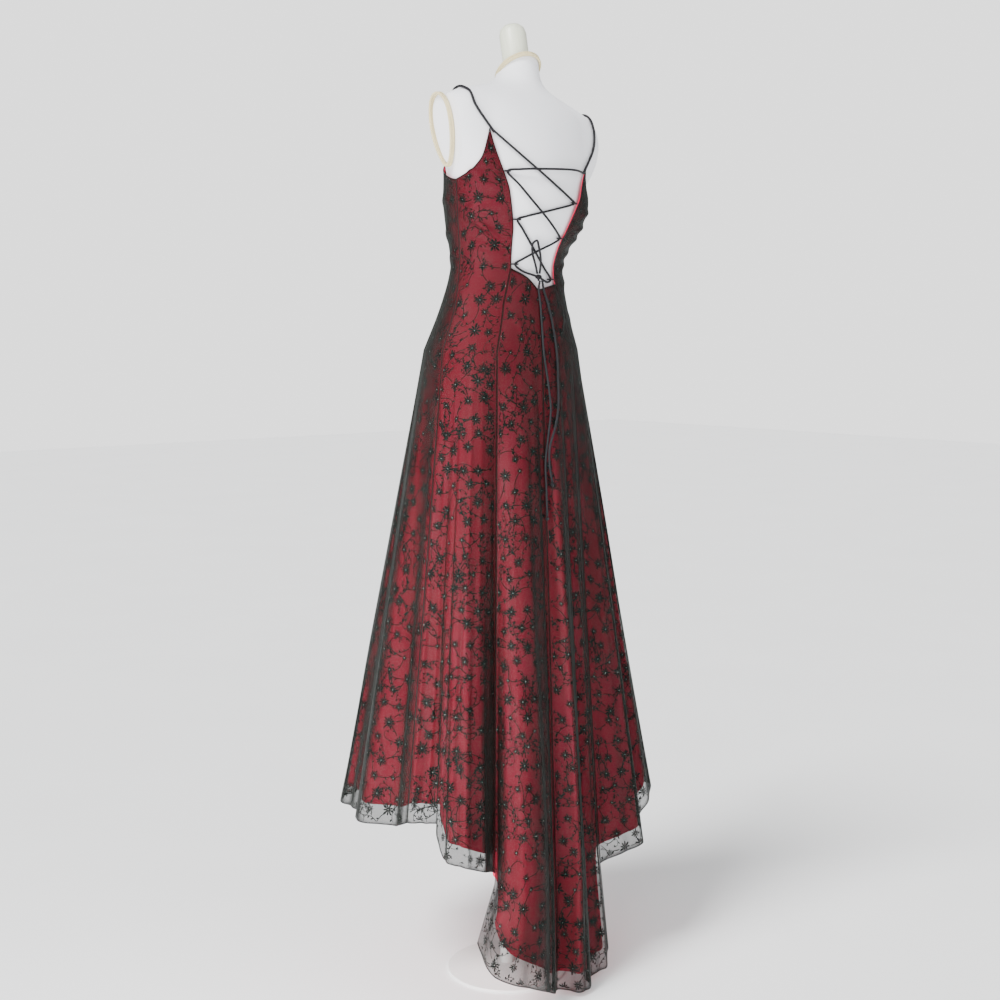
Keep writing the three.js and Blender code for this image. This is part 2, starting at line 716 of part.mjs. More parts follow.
function toManifold(geometry) {
  const bare = geometry.clone();
  bare.deleteAttribute('normal');
  bare.deleteAttribute('uv');
  const joined = mergeVertices(bare, 1e-4);
  return new wasm.Manifold(new wasm.Mesh({
    numProp: 3,
    vertProperties: new Float32Array(joined.getAttribute('position').array),
    triVerts: new Uint32Array(joined.getIndex().array),
  }));
}

function fromManifold(solid) {
  const mesh = solid.getMesh();
  const geometry = new THREE.BufferGeometry();
  geometry.setAttribute('position', new THREE.BufferAttribute(mesh.vertProperties, 3));
  geometry.setIndex(Array.from(mesh.triVerts));
  return geometry;
}

// Moves a shape from its own flat plane to the plane of an arm opening.
function toArmPlane(geometry, side) {
  geometry.rotateY(THREE.MathUtils.degToRad(side * ARM_TILT));
  geometry.rotateZ(THREE.MathUtils.degToRad(-side * ARM_TURN));
  const turn = THREE.MathUtils.degToRad(ARM_TURN);
  const forward = ARM_SETBACK - ARM_PLANE * Math.sin(turn);
  geometry.translate(side * ARM_PLANE * Math.cos(turn), forward, ARM_PLATE.height);
  return geometry;
}

function armCutter(side) {
  const size = 200;
  const box = new THREE.BoxGeometry(size, size * 2, size * 1.4);
  box.translate((side * size) / 2, 0, 0);
  return toManifold(toArmPlane(box, side));
}

// Points round an arm plate, grown by a margin: an egg with its narrow end down, which
// leans towards the back there.
function armOutline(count, margin) {
  return Array.from({ length: count }, (_, i) => {
    const angle = (i / count) * 2 * Math.PI;
    const deep = ARM_PLATE.halfDeep * Math.cos(angle) * (1 + ARM_EGG * Math.sin(angle));
    const point = new THREE.Vector2(deep, ARM_PLATE.halfHigh * Math.sin(angle));
    point.setLength(point.length() + margin);
    return new THREE.Vector2(ARM_PLATE.forward + point.x - ARM_SKEW * point.y, point.y);
  });
}

// The plate that closes an arm opening, and the braid round it.
function addArm(side, name) {
  const gap = CLEARANCE;
  const plate = new THREE.ExtrudeGeometry(new THREE.Shape(armOutline(24, 0)), {
    depth: ARM_PLATE.thick, bevelEnabled: false,
  });
  plate.rotateX(Math.PI / 2);
  plate.rotateZ(Math.PI / 2);
  plate.translate(side > 0 ? gap : -gap - ARM_PLATE.thick, 0, 0);
  addPiece(`form_arm_plate_${name}`, toArmPlane(plate, side), jersey);
  const route = armOutline(30, ARM_TRIM_RADIUS + 2 * gap).map((point) => (
    new THREE.Vector3(side * (gap + ARM_TRIM_RADIUS), point.x, point.y)
  ));
  const trim = ringSolid(route, new THREE.Vector3(1, 0, 0), ARM_TRIM_RADIUS, 6);
  addPiece(`form_arm_trim_${name}`, toArmPlane(trim, side), braid);
}

// A closed ring of round section through points of a plane, given the plane's normal.
function ringSolid(points, across, radius, sides) {
  const positions = [];
  const middle = points.reduce((sum, point) => sum.add(point), new THREE.Vector3()).divideScalar(points.length);
  for (const point of points) {
    const outward = point.clone().sub(middle).normalize();
    for (let k = 0; k < sides; k += 1) {
      const angle = (k / sides) * 2 * Math.PI;
      const spot = point.clone().addScaledVector(outward, radius * Math.cos(angle));
      positions.push(...spot.addScaledVector(across, radius * Math.sin(angle)).toArray());
    }
  }
  const index = [];
  for (let i = 0; i < points.length; i += 1) {
    const next = (i + 1) % points.length;
    for (let k = 0; k < sides; k += 1) {
      const turn = (k + 1) % sides;
      const [a, b] = [i * sides + k, next * sides + k];
      const [c, d] = [next * sides + turn, i * sides + turn];
      index.push(a, b, c, a, c, d);
    }
  }
  const geometry = new THREE.BufferGeometry();
  geometry.setAttribute('position', new THREE.Float32BufferAttribute(positions, 3));
  geometry.setIndex(index);
  return geometry;
}

// The neck ends in a sloping face, higher at the back, that carries a ring of braid and
// the wooden cap.
const neckTilt = THREE.MathUtils.degToRad(NECK_CUT.tilt);
const neckNormal = new THREE.Vector3(0, -Math.sin(neckTilt), Math.cos(neckTilt));
const neckUpwards = new THREE.Vector3(0, Math.cos(neckTilt), Math.sin(neckTilt));
const neckMiddle = new THREE.Vector3(0, NECK_TRIM.forward, NECK_CUT.height);
const neckOffset = neckNormal.dot(neckMiddle);

const torso = toManifold(bodySolid()).subtract(armCutter(1)).subtract(armCutter(-1))
  .trimByPlane(neckNormal.clone().negate().toArray(), -neckOffset);
addPiece('form_torso', fromManifold(torso), jersey);
addArm(1, 'left');
addArm(-1, 'right');

// A turned solid about an upright axis, from radius and height pairs.
function turned(profile, segments, y) {
  const points = profile.map(([radius, height]) => new THREE.Vector2(radius, height));
  const solid = new THREE.LatheGeometry(points, segments);
  solid.rotateX(Math.PI / 2);
  solid.translate(0, y, 0);
  return solid;
}

const trimPoints = Array.from({ length: 32 }, (_, i) => {
  const angle = (i / 32) * 2 * Math.PI;
  return neckMiddle.clone()
    .addScaledVector(new THREE.Vector3(-1, 0, 0), NECK_TRIM.halfWide * Math.sin(angle))
    .addScaledVector(neckUpwards, NECK_TRIM.halfLong * Math.cos(angle))
    .addScaledVector(neckNormal, NECK_TRIM.radius + CLEARANCE);
});
addPiece('form_neck_band', ringSolid(trimPoints, neckNormal, NECK_TRIM.radius, 8), braid);

const cap = turned([
  [0, -NECK_CAP.below], [NECK_CAP.radius, -NECK_CAP.below],
  [NECK_CAP.radius, NECK_CAP.above - 18], [NECK_CAP.radius - 4, NECK_CAP.above - 8],
  [NECK_CAP.radius - 14, NECK_CAP.above - 2], [0, NECK_CAP.above],
], 28, 0);
cap.rotateX(THREE.MathUtils.degToRad(NECK_CAP.tilt));
cap.translate(0, NECK_CAP.forward, NECK_CUT.height);
const standing = toManifold(cap).trimByPlane(neckNormal.toArray(), neckOffset + CLEARANCE);
addPiece('form_neck_cap', fromManifold(standing), jersey);

addPiece('stand_pole', turned([
  [0, FOOT.thick + CLEARANCE], [POLE_RADIUS, FOOT.thick + CLEARANCE],
  [POLE_RADIUS, FORM_BOTTOM - CLEARANCE], [0, FORM_BOTTOM - CLEARANCE],
], 20, 0), paint);
addPiece('stand_foot', turned([
  [0, 0], [FOOT.radius, 0], [FOOT.radius, FOOT.edge],
  [FOOT.radius * 0.4, FOOT.thick], [0, FOOT.thick],
], 40, 0), paint);

export default dress;
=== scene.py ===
"""A prom dress of sheer black organza over crimson satin, laced at its open back, on a
limbless dress form. Blender script, metres, +Z up. The figure faces -Y and its left side
is +X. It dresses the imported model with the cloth, the raised flowers, the cords and the
form as they look."""

import math
import random

import bmesh
import bpy
import numpy as np
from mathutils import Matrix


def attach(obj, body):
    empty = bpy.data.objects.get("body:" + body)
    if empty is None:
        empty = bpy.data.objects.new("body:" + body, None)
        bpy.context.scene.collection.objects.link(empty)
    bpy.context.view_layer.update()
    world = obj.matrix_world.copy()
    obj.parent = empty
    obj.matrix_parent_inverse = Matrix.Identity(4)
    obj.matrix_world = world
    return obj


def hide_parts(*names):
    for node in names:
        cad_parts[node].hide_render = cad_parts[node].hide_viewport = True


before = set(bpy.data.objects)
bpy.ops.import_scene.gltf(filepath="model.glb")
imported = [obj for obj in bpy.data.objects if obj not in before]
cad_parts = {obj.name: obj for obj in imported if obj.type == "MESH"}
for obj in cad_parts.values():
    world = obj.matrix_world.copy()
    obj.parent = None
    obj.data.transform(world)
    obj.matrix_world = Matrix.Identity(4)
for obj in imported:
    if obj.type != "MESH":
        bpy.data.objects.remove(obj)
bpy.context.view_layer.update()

# Camera: three metres behind the dress, turned towards its left side, at shoulder-blade
# height and tipped slightly down.
camera_turn = 40
camera_distance = 3.0
camera_height = 1.34
camera_tip = 3.8
camera_data = bpy.data.cameras.new("camera")
camera_data.sensor_width = 36
camera_data.lens = 52.35
camera_data.shift_x = -0.007
camera_data.shift_y = -0.07
camera = bpy.data.objects.new("camera", camera_data)
camera.location = (
    camera_distance * math.sin(math.radians(camera_turn)),
    camera_distance * math.cos(math.radians(camera_turn)),
    camera_height,
)
camera.rotation_euler = (
    math.radians(90 - camera_tip), 0, math.radians(180 - camera_turn)
)
bpy.context.collection.objects.link(camera)
bpy.context.scene.camera = camera


# Free ends of the lace: two lengths of round black cord that hang from the knot down
# the back of the skirt, each finished with a small overhand knot. They lie on the cloth,
# so the shape of the dress comes first: its sections above the hip, and the folds that
# its lines fall into between the hip and the hem.
waist = 1.470
hip = 1.306
hem_level = 0.370
train_turn = 0.262

# Height, half width, depth behind and before the centre, and the centre's place.
form_sections = np.array([
    (1.130, 0.160, 0.098, 0.100, 0.000),
    (1.200, 0.164, 0.102, 0.108, 0.000),
    (1.306, 0.158, 0.099, 0.112, 0.000),
    (1.390, 0.131, 0.094, 0.104, 0.000),
    (1.470, 0.121, 0.089, 0.090, 0.000),
    (1.507, 0.124, 0.096, 0.097, 0.003),
    (1.548, 0.134, 0.108, 0.114, 0.008),
    (1.610, 0.150, 0.108, 0.128, 0.015),
    (1.650, 0.160, 0.100, 0.114, 0.015),
    (1.690, 0.173, 0.092, 0.100, 0.015),
    (1.730, 0.180, 0.085, 0.084, 0.015),
    (1.770, 0.178, 0.077, 0.068, 0.013),
    (1.800, 0.168, 0.067, 0.055, 0.010),
    (1.820, 0.128, 0.058, 0.048, 0.006),
    (1.836, 0.080, 0.052, 0.045, 0.002),
    (1.850, 0.056, 0.049, 0.044, -0.001),
    (1.871, 0.045, 0.045, 0.044, -0.003),
    (1.925, 0.041, 0.040, 0.042, -0.008),
])
bodice_ease = 0.006
above_waist = form_sections[form_sections[:, 0] >= waist]
dress_sections = np.vstack([
    [(1.306, 0.170, 0.110, 0.174, 0), (1.390, 0.140, 0.103, 0.136, 0)],
    above_waist + [0, bodice_ease, bodice_ease, bodice_ease, 0],
])

# Ridges and valleys of the skirt at the hem level: the cloth's line at the hip in
# degrees from the middle of the back towards the left side, and the angle and radius
# where that line hangs.
folds = np.array([
    (-180, -184, 0.352), (-170, -165, 0.366), (-158, -151, 0.330), (-146, -138, 0.352),
    (-134, -126, 0.322), (-122, -113, 0.347), (-110, -101, 0.304), (-99, -91, 0.320),
    (-88, -80, 0.300), (-72, -67, 0.325), (-62, -61, 0.277), (-54, -55, 0.276),
    (-45, -49, 0.232), (-36, -42, 0.188), (-28, -35, 0.186), (-19, -26, 0.166),
    (-10, -11, 0.190), (0, 3, 0.156), (9, 14, 0.192), (18, 28, 0.233),
    (27, 40, 0.222), (36, 47, 0.196), (45, 50, 0.252), (56, 57, 0.292),
    (65, 64, 0.294), (76, 71, 0.284), (88, 79, 0.310), (100, 89, 0.300),
    (112, 101, 0.340), (122, 113, 0.318), (134, 127, 0.348), (146, 139, 0.322),
    (158, 153, 0.364), (169, 165, 0.332), (180, 176, 0.352),
])
whole_turn = np.array([360, 360, 0])
folds_round = np.vstack([folds[-4:-1] - whole_turn, folds, folds[1:4] + whole_turn])
train_floor = np.array([
    (-36, -45, 0.218), (-28, -36, 0.214), (-19, -25, 0.186), (-10, -10, 0.214),
    (0, 4, 0.166), (9, 15, 0.220), (18, 31, 0.272), (27, 47, 0.336), (36, 59, 0.338),
])

# How far the shoulders stand out of the form's oval sections, under the arm plates.
shoulder_out, shoulder_line, shoulder_reach = 0.026, 82, 42
shoulder_height, shoulder_tall = 1.745, 0.120

# The form leans a little to its own right above the waist.
lean_angle = math.radians(4.5)
lean_over = 0.150

# Slack that makes the right side of the bodice stand away from the form.
slack_out, slack_line, slack_reach = 0.012, -62, 40
slack_height, slack_tall = 1.585, 0.095

# Pulls in the close-fitting cloth between the side seams and the lacing: line and height
# of both ends, half width and how far the ridge stands out.
pulls = [
    (80, 1.562, 42, 1.528, 0.0065, 0.0070),
    (80, 1.568, 42, 1.598, 0.0060, 0.0060),
    (86, 1.650, 52, 1.638, 0.0060, 0.0050),
    (78, 1.618, 40, 1.624, 0.0065, 0.0055),
    (74, 1.512, 36, 1.498, 0.0070, 0.0045),
    (86, 1.452, 52, 1.424, 0.0090, 0.0026),
    (90, 1.398, 60, 1.362, 0.0100, 0.0030),
    (-80, 1.600, -40, 1.590, 0.0080, 0.0040),
    (-84, 1.572, -38, 1.552, 0.0070, 0.0046),
    (-82, 1.540, -32, 1.528, 0.0070, 0.0040),
    (-84, 1.512, -30, 1.498, 0.0070, 0.0036),
    (-80, 1.482, -28, 1.474, 0.0070, 0.0030),
    (-76, 1.448, -36, 1.440, 0.0080, 0.0030),
    (-88, 1.400, -56, 1.372, 0.0100, 0.0032),
    (96, 1.590, 132, 1.604, 0.0090, 0.0028),
    (94, 1.545, 136, 1.530, 0.0080, 0.0026),
    (92, 1.500, 128, 1.486, 0.0080, 0.0024),
    (-96, 1.586, -134, 1.600, 0.0090, 0.0028),
    (-94, 1.538, -130, 1.528, 0.0080, 0.0028),
    (-92, 1.496, -126, 1.480, 0.0080, 0.0024),
    (150, 1.470, 206, 1.476, 0.0090, 0.0020),
    (154, 1.440, 200, 1.434, 0.0100, 0.0022),
    (26, 1.428, 4, 1.404, 0.0080, 0.0026),
    (-26, 1.418, -8, 1.398, 0.0080, 0.0024),
    (30, 1.380, 12, 1.340, 0.0100, 0.0028),
    (-34, 1.376, -18, 1.336, 0.0100, 0.0028),
]


def smooth_value(rows, column, at):
    """One column of a table along a smooth curve through its rows."""
    places, values = rows[:, 0], rows[:, column]
    last = len(places) - 1
    at = np.clip(at, places[0], places[last])
    i = np.clip(np.searchsorted(places, at) - 1, 0, last - 1)
    before, after = np.maximum(i - 1, 0), np.minimum(i + 2, last)
    span = places[i + 1] - places[i]
    t = (at - places[i]) / span
    start = (values[i + 1] - values[before]) / (places[i + 1] - places[before]) * span
    end = (values[after] - values[i]) / (places[after] - places[i]) * span
    return (
        values[i] * (1 + 2 * t) * (1 - t) ** 2 + start * t * (1 - t) ** 2
        + values[i + 1] * t * t * (3 - 2 * t) + end * t * t * (t - 1)
    )


def polar(angle, radius):
    turn = np.radians(angle)
    return np.stack([radius * np.sin(turn), radius * np.cos(turn)], axis=-1)


def bump(distance):
    return np.clip(1 - distance * distance, 0, None) ** 2


def section_point(rows, line, z):
    """A point on an oval section of the form or the dress, with its shoulder, in plan."""
    line, z = np.broadcast_arrays(np.asarray(line, float), z)
    turn = np.radians(line)
    depth = smooth_value(rows, 2, z)
    depth = np.where(np.cos(turn) > 0, depth, smooth_value(rows, 3, z))
    x = smooth_value(rows, 1, z) * np.sin(turn)
    oval = np.stack([x, smooth_value(rows, 4, z) + depth * np.cos(turn)], axis=-1)
    beside = (abs((line + 180) % 360 - 180) - shoulder_line) / shoulder_reach
    shoulder = bump(beside) * bump((z - shoulder_height) / shoulder_tall)
    return oval + polar(line, shoulder_out * shoulder)


def dress_plan(line, z):
    """The dress's outer surface in plan: snug to the hip, then every line of the cloth
    falls straight to its fold, and the train's lines turn towards the floor."""
    line, z = np.broadcast_arrays((np.asarray(line, float) + 180) % 360 - 180, z)
    top = section_point(dress_sections, line, np.maximum(z, hip))
    slack = bump((line - slack_line) / slack_reach) * bump((z - slack_height) / slack_tall)
    top = top + polar(line, slack_out * slack)
    fold = polar(smooth_value(folds_round, 1, line), smooth_value(folds_round, 2, line))
    fall = np.clip((hip - z) / (hip - hem_level), 0, None)[..., None]
    point = top + (fold - top) * fall
    floor = polar(smooth_value(train_floor, 1, line), smooth_value(train_floor, 2, line))
    straight = top + (fold - top) * hip / (hip - hem_level)
    below = np.clip((train_turn - z) / train_turn, 0, None)[..., None]
    return point + (floor - straight) * below


def small_folds(line, z):
    """How far the cloth stands out of its main form: pulls across the close-fitting
    part, and finer folds between the main ones, deeper towards the hem."""
    round_line = (line + 180) % 360 - 180
    out = np.zeros(np.broadcast(line, z).shape)
    for start, high, end, low, wide, tall in pulls:
        middle = (start + end) / 2
        across = (round_line - middle + 180) % 360 - 180
        share = np.clip(across / (end - start) + 0.5, 0, 1)
        centre = high + (low - high) * share + 0.004 * np.sin(5 * share)
        ends = np.sin(np.pi * share) ** 0.8
        out += tall * ends * np.exp(-(((z - centre) / wide) ** 2))
    turn = np.radians(round_line)
    fall = np.clip((hip + 0.05 - z) / (hip - hem_level), 0, 1.25)
    uneven = 0.6 + 0.4 * np.sin(5 * turn + 2.1)
    finer = 0.0030 * np.sin(47 * turn + 1.3 + 1.6 * np.sin(3.1 * z + 2 * turn))
    finest = 0.0011 * np.sin(83 * turn + 0.4 + 2.2 * np.sin(4.3 * z + 3 * turn))
    return out + (finer + finest) * uneven * fall


def inset_point(plan, line, z, inset, step=0.2):
    """A point that lies a distance inside a plan curve."""
    line, z = np.broadcast_arrays(np.asarray(line, float), np.asarray(z, float))
    point = plan(line, z)
    along = plan(line + step, z) - plan(line - step, z)
    along /= np.linalg.norm(along, axis=-1, keepdims=True)
    x = point[..., 0] + along[..., 1] * inset
    y = point[..., 1] - along[..., 0] * inset
    return np.stack([x, y, z], axis=-1)


def cloth_point(line, z, inset):
    """A point of the cloth, with its small folds."""
    wide_step = 1.1
    out = small_folds(line, z)
    return inset_point(dress_plan, line, z, inset - out, wide_step)


def form_point(line, z, inset):
    return inset_point(lambda at, h: section_point(form_sections, at, h), line, z, inset)


def leaned(points):
    points = np.array(points, float)
    rise = np.clip(points[..., 2] - waist, 0, None)
    angle = lean_angle * np.minimum(1, rise / lean_over)
    x = points[..., 0].copy()
    high = rise > 0
    points[..., 0] = np.where(high, x * np.cos(angle) - rise * np.sin(angle), x)
    lifted = waist + rise * np.cos(angle) + x * np.sin(angle)
    points[..., 2] = np.where(high, lifted, points[..., 2])
    return points


def smooth_route(points, step):
    """Close points along a smooth curve through a cord's route."""
    points = np.array(points, float)
    before, after = 2 * points[0] - points[1], 2 * points[-1] - points[-2]
    padded = np.vstack([before, points, after])
    gaps = np.sqrt(np.linalg.norm(np.diff(padded, axis=0), axis=1))
    times = np.concatenate([[0], np.cumsum(gaps)])
    parts = []
    for i in range(1, len(points)):
        count = max(2, round(np.linalg.norm(padded[i + 1] - padded[i]) / step))
        t = np.linspace(times[i], times[i + 1], count, endpoint=False)[:, None]
        row, at = list(padded[i - 1:i + 3]), times[i - 1:i + 3]
        for first, last in (((0, 1, 2), (1, 2, 3)), ((0, 1), (2, 3)), ((1,), (2,))):
            row = [
                (row[k] * (at[b] - t) + row[k + 1] * (t - at[a])) / (at[b] - at[a])
                for k, (a, b) in enumerate(zip(first, last))
            ]
        parts.append(row[0])
    return np.vstack([*parts, points[-1:]])


def cord_mesh(points, radius, sides, closed=False):
    """Vertices, faces and flat coordinates of a round cord along close points."""
    points = np.array(points, float)
    if closed:
        along = np.roll(points, -1, axis=0) - np.roll(points, 1, axis=0)
    else:
        along = np.gradient(points, axis=0)
    along /= np.linalg.norm(along, axis=1, keepdims=True)
    side = np.cross(along[0], [0.31, 0.17, 0.93])
    sides_at = []
    for direction in along:
        side = side - direction * np.dot(side, direction)
        side = side / np.linalg.norm(side)
        sides_at.append(side)
    sides_at = np.array(sides_at)
    other = np.cross(along, sides_at)
    turn = np.linspace(0, 2 * math.pi, sides, endpoint=False)[None, :, None]
    radius = np.broadcast_to(radius, len(points))[:, None, None]
    ring = sides_at[:, None] * np.cos(turn) + other[:, None] * np.sin(turn)
    vertices = (points[:, None] + radius * ring).reshape(-1, 3)
    count = len(points)
    faces = []
    for j in range(count if closed else count - 1):
        for k in range(sides):
            a, b = j * sides + k, j * sides + (k + 1) % sides
            c = (j + 1) % count * sides
            faces.append((a, b, c + (k + 1) % sides, c + k))
    if not closed:
        faces.append(tuple(range(sides - 1, -1, -1)))
        faces.append(tuple((count - 1) * sides + k for k in range(sides)))
    length = np.concatenate([[0], np.cumsum(np.linalg.norm(np.diff(points, axis=0), axis=1))])
    around = np.linspace(0, 2 * math.pi * float(radius.max()), sides, endpoint=False)
    flat = np.stack(np.meshgrid(around, length), axis=-1).reshape(-1, 2)
    return vertices, faces, flat


def joined(parts):
    """Several sets of vertices, faces and flat coordinates as one."""
    vertices, faces, flat, count = [], [], [], 0
    for points, sides, places in parts:
        vertices.append(points)
        flat.append(places)
        faces.extend(tuple(count + k for k in face) for face in sides)
        count += len(points)
    return np.vstack(vertices), faces, np.vstack(flat)


def add_mesh(name, mesh_parts, material, smooth=True):
    """A piece that rides on the model, its place in its mesh, with flat coordinates in
    metres as its UV map."""
    vertices, faces, flat = mesh_parts
    mesh = bpy.data.meshes.new(name)
    mesh.from_pydata(leaned(vertices).tolist(), [], faces)
    uv = mesh.uv_layers.new(name="flat")
    corners = np.empty(len(mesh.loops), dtype=np.int32)
    mesh.loops.foreach_get("vertex_index", corners)
    uv.data.foreach_set("uv", np.asarray(flat, np.float32)[corners].ravel())
    mesh.polygons.foreach_set("use_smooth", [smooth] * len(mesh.polygons))
    mesh.materials.append(material)
    mesh.validate()
    piece = bpy.data.objects.new(name, mesh)
    bpy.context.collection.objects.link(piece)
    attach(piece, "root")
    return piece


def new_material(name, **values):
    """A material with a Principled shader, and its nodes, links and shader."""
    material = bpy.data.materials.new(name)
    material.use_nodes = True
    nodes, links = material.node_tree.nodes, material.node_tree.links
    shader = nodes["Principled BSDF"]
    for socket, value in values.items():
        shader.inputs[socket.replace("_", " ")].default_value = value
    return material, nodes, links, shader


def noise_on(nodes, links, vector, scale, detail=3.0):
    noise = nodes.new("ShaderNodeTexNoise")
    noise.inputs["Scale"].default_value = scale
    noise.inputs["Detail"].default_value = detail
    links.new(vector, noise.inputs["Vector"])
    return noise.outputs["Fac"]


def ramp_of(nodes, links, factor, stops):
    """A colour ramp on a factor: stops are place and colour or grey."""
    ramp = nodes.new("ShaderNodeValToRGB")
    while len(ramp.color_ramp.elements) < len(stops):
        ramp.color_ramp.elements.new(0.5)
    for element, (place, colour) in zip(ramp.color_ramp.elements, stops):
        element.position = place
        grey = (colour,) * 3 if isinstance(colour, float) else colour
        element.color = (*grey, 1)
    links.new(factor, ramp.inputs["Fac"])
    return ramp.outputs["Color"]


def bump_from(nodes, links, height, distance, strength, shader):
    relief = nodes.new("ShaderNodeBump")
    relief.inputs["Distance"].default_value = distance
    relief.inputs["Strength"].default_value = strength
    links.new(height, relief.inputs["Height"])
    links.new(relief.outputs["Normal"], shader.inputs["Normal"])


def flat_vector(nodes, links, scale=(1, 1, 1), turn=0):
    """The piece's flat coordinates, stretched and turned."""
    source = nodes.new("ShaderNodeUVMap")
    source.uv_map = "flat"
    mapping = nodes.new("ShaderNodeMapping")
    mapping.inputs["Scale"].default_value = scale
    mapping.inputs["Rotation"].default_value = (0, 0, math.radians(turn))
    links.new(source.outputs["UV"], mapping.inputs["Vector"])
    return mapping.outputs["Vector"]


def cord_material():
    """Black rayon cord: twisted yarns with a soft shine."""
    material, nodes, links, shader = new_material(
        "black_cord", Roughness=0.55, Sheen_Weight=0.03, Sheen_Roughness=0.4,
        Specular_IOR_Level=0.25,
    )
    shader.inputs["Sheen Tint"].default_value = (0.7, 0.68, 0.75, 1)
    twist = nodes.new("ShaderNodeTexWave")
    twist.bands_direction = "DIAGONAL"
    twist.inputs["Scale"].default_value = 260
    twist.inputs["Distortion"].default_value = 0.6
    links.new(flat_vector(nodes, links), twist.inputs["Vector"])
    yarn = ramp_of(nodes, links, twist.outputs["Fac"], [
        (0.0, (0.002, 0.002, 0.003)), (1.0, (0.010, 0.009, 0.012)),
    ])
    links.new(yarn, shader.inputs["Base Color"])
    bump_from(nodes, links, twist.outputs["Fac"], 0.0004, 0.6, shader)
    return material


black_cord = cord_material()
lace_radius = 0.0023
tip_radius = 0.0045

# Line on the cloth, height and clearance of each point of the route.
long_end = [
    (0.9, 1.4453, 0.0088), (0.7, 1.430, 0.0028), (0.3, 1.400, 0.0028), (0, 1.362, 0.0028),
    (-0.6, 1.300, 0.0028), (-3.5, 1.244, 0.0028), (-5, 1.188, 0.0028),
    (-2.6, 1.135, 0.0028), (0.8, 1.080, 0.0034), (0.4, 1.036, 0.0028),
    (1.2, 0.974, 0.0052),
]
short_end = [
    (-1.9, 1.4456, 0.0084), (-4.6, 1.430, 0.0034), (-8, 1.404, 0.0026),
    (-11.4, 1.366, 0.0026), (-13, 1.300, 0.0026), (-12.6, 1.244, 0.0026),
    (-10.6, 1.188, 0.0034), (-6.4, 1.148, 0.0066), (-2.6, 1.112, 0.0072),
    (-2.4, 1.075, 0.0062), (-4.2, 1.042, 0.0052),
]


def skirt_route(rows):
    line, height, lift = np.array(rows).T
    lift = lift + np.clip(small_folds(line, height), 0, None)
    return inset_point(dress_plan, line, height, -lift)


def knotted(centre, size, radius, flatten):
    """An overhand knot pulled tight: a cord that winds through itself."""
    t = np.linspace(0, 2 * math.pi, 72, endpoint=False)
    x = np.sin(t) + 2 * np.sin(2 * t)
    y = np.cos(t) - 2 * np.cos(2 * t)
    depth = -np.sin(3 * t) * 1.25
    route = np.stack([x, depth * flatten, y], axis=1) * size / 3 + centre
    return cord_mesh(route, radius, 10, closed=True)


for name, rows in (("long", long_end), ("short", short_end)):
    route = smooth_route(skirt_route(rows), 0.006)
    lowest = route[-1] - [0, 0, tip_radius + 0.0003]
    tip = add_mesh(
        f"lace_{name}_tip_knot", knotted(lowest, tip_radius - 0.0016, 0.0016, 0.8),
        black_cord,
    )
    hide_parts(f"lace_{name}_tip")
    end = add_mesh(
        f"lace_{name}_cord", cord_mesh(route, lace_radius, 12), black_cord
    )
    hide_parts(f"lace_{name}_end")


# Lining: seven panels of crimson satin, sewn to each other along the princess seams and
# to the organza along the neck, the armholes and the back opening. It hangs free below
# the hip and ends 35 mm above the organza's hem.
side_seam = 88
front_seam = 146
lining_shorter = 0.035
wall = 0.001
layer_gap_top = 0.0006
layer_gap_hem = 0.007
lining_reveal = 0.4, 1.3
reveal_start, reveal_over = 1.438, 0.02
train_edge_inset = 5.0, 1.5
inset_start, inset_over = 0.275, 0.06

# Height and line of the edges of the back opening, and of the seams below it.
left_edge = np.array([
    (1.306, 36), (1.400, 35), (1.471, 28), (1.560, 33), (1.656, 39.5), (1.732, 45),
])
right_edge = np.array([
    (1.306, 36), (1.390, 34), (1.440, 24), (1.530, 24), (1.610, 33), (1.686, 44),
])
train_hem = np.array([
    (-36, 0.052), (-28, 0.022), (-19, 0.012), (0, 0.012), (9, 0.034), (18, 0.074),
    (27, 0.110), (36, 0.160),
])
skirt_hem = np.array([
    (36, 0.280), (45, 0.303), (54, 0.321), (66, 0.333), (73, 0.393), (88, 0.394),
    (98, 0.375), (134, 0.368), (180, 0.372), (226, 0.370), (272, 0.374), (288, 0.362),
    (298, 0.300), (306, 0.262), (324, 0.236),
])


def left_seam(z):
    return np.interp(z, *left_edge.T)


def right_seam(z):
    return -np.interp(z, *right_edge.T)


def fixed_seam(line):
    return lambda z: np.full(np.shape(z), float(line))


# Each panel's first and second seam, its hem, the height of its top edge from the first
# seam (0) to the second (1), and its columns.
panels = {
    "centre_back_left": (
        fixed_seam(0), left_seam, train_hem, [(0, 1.427), (0.35, 1.450), (1, 1.469)], 60),
    "centre_back_right": (
        right_seam, fixed_seam(0), train_hem, [(0, 1.439), (0.5, 1.434), (1, 1.427)], 60),
    "side_back_left": (
        left_seam, fixed_seam(side_seam), skirt_hem,
        [(0, 1.730), (0.09, 1.709), (0.22, 1.683), (0.34, 1.667), (0.58, 1.647),
         (0.83, 1.636), (1, 1.631)], 64),
    "side_back_right": (
        fixed_seam(-side_seam), right_seam, skirt_hem,
        [(0, 1.606), (0.4, 1.617), (0.64, 1.633), (0.78, 1.647), (0.9, 1.666),
         (1, 1.684)], 64),
    "side_front_left": (
        fixed_seam(side_seam), fixed_seam(front_seam), skirt_hem,
        [(0, 1.631), (0.12, 1.634), (0.35, 1.646), (0.7, 1.668), (1, 1.698)], 64),
    "side_front_right": (
        fixed_seam(-front_seam), fixed_seam(-side_seam), skirt_hem,
        [(0, 1.698), (0.3, 1.658), (0.65, 1.624), (0.88, 1.608), (1, 1.606)], 64),
    "front": (
        fixed_seam(front_seam), fixed_seam(360 - front_seam), skirt_hem,
        [(0, 1.698), (0.25, 1.650), (0.5, 1.618), (0.75, 1.650), (1, 1.698)], 72),
}


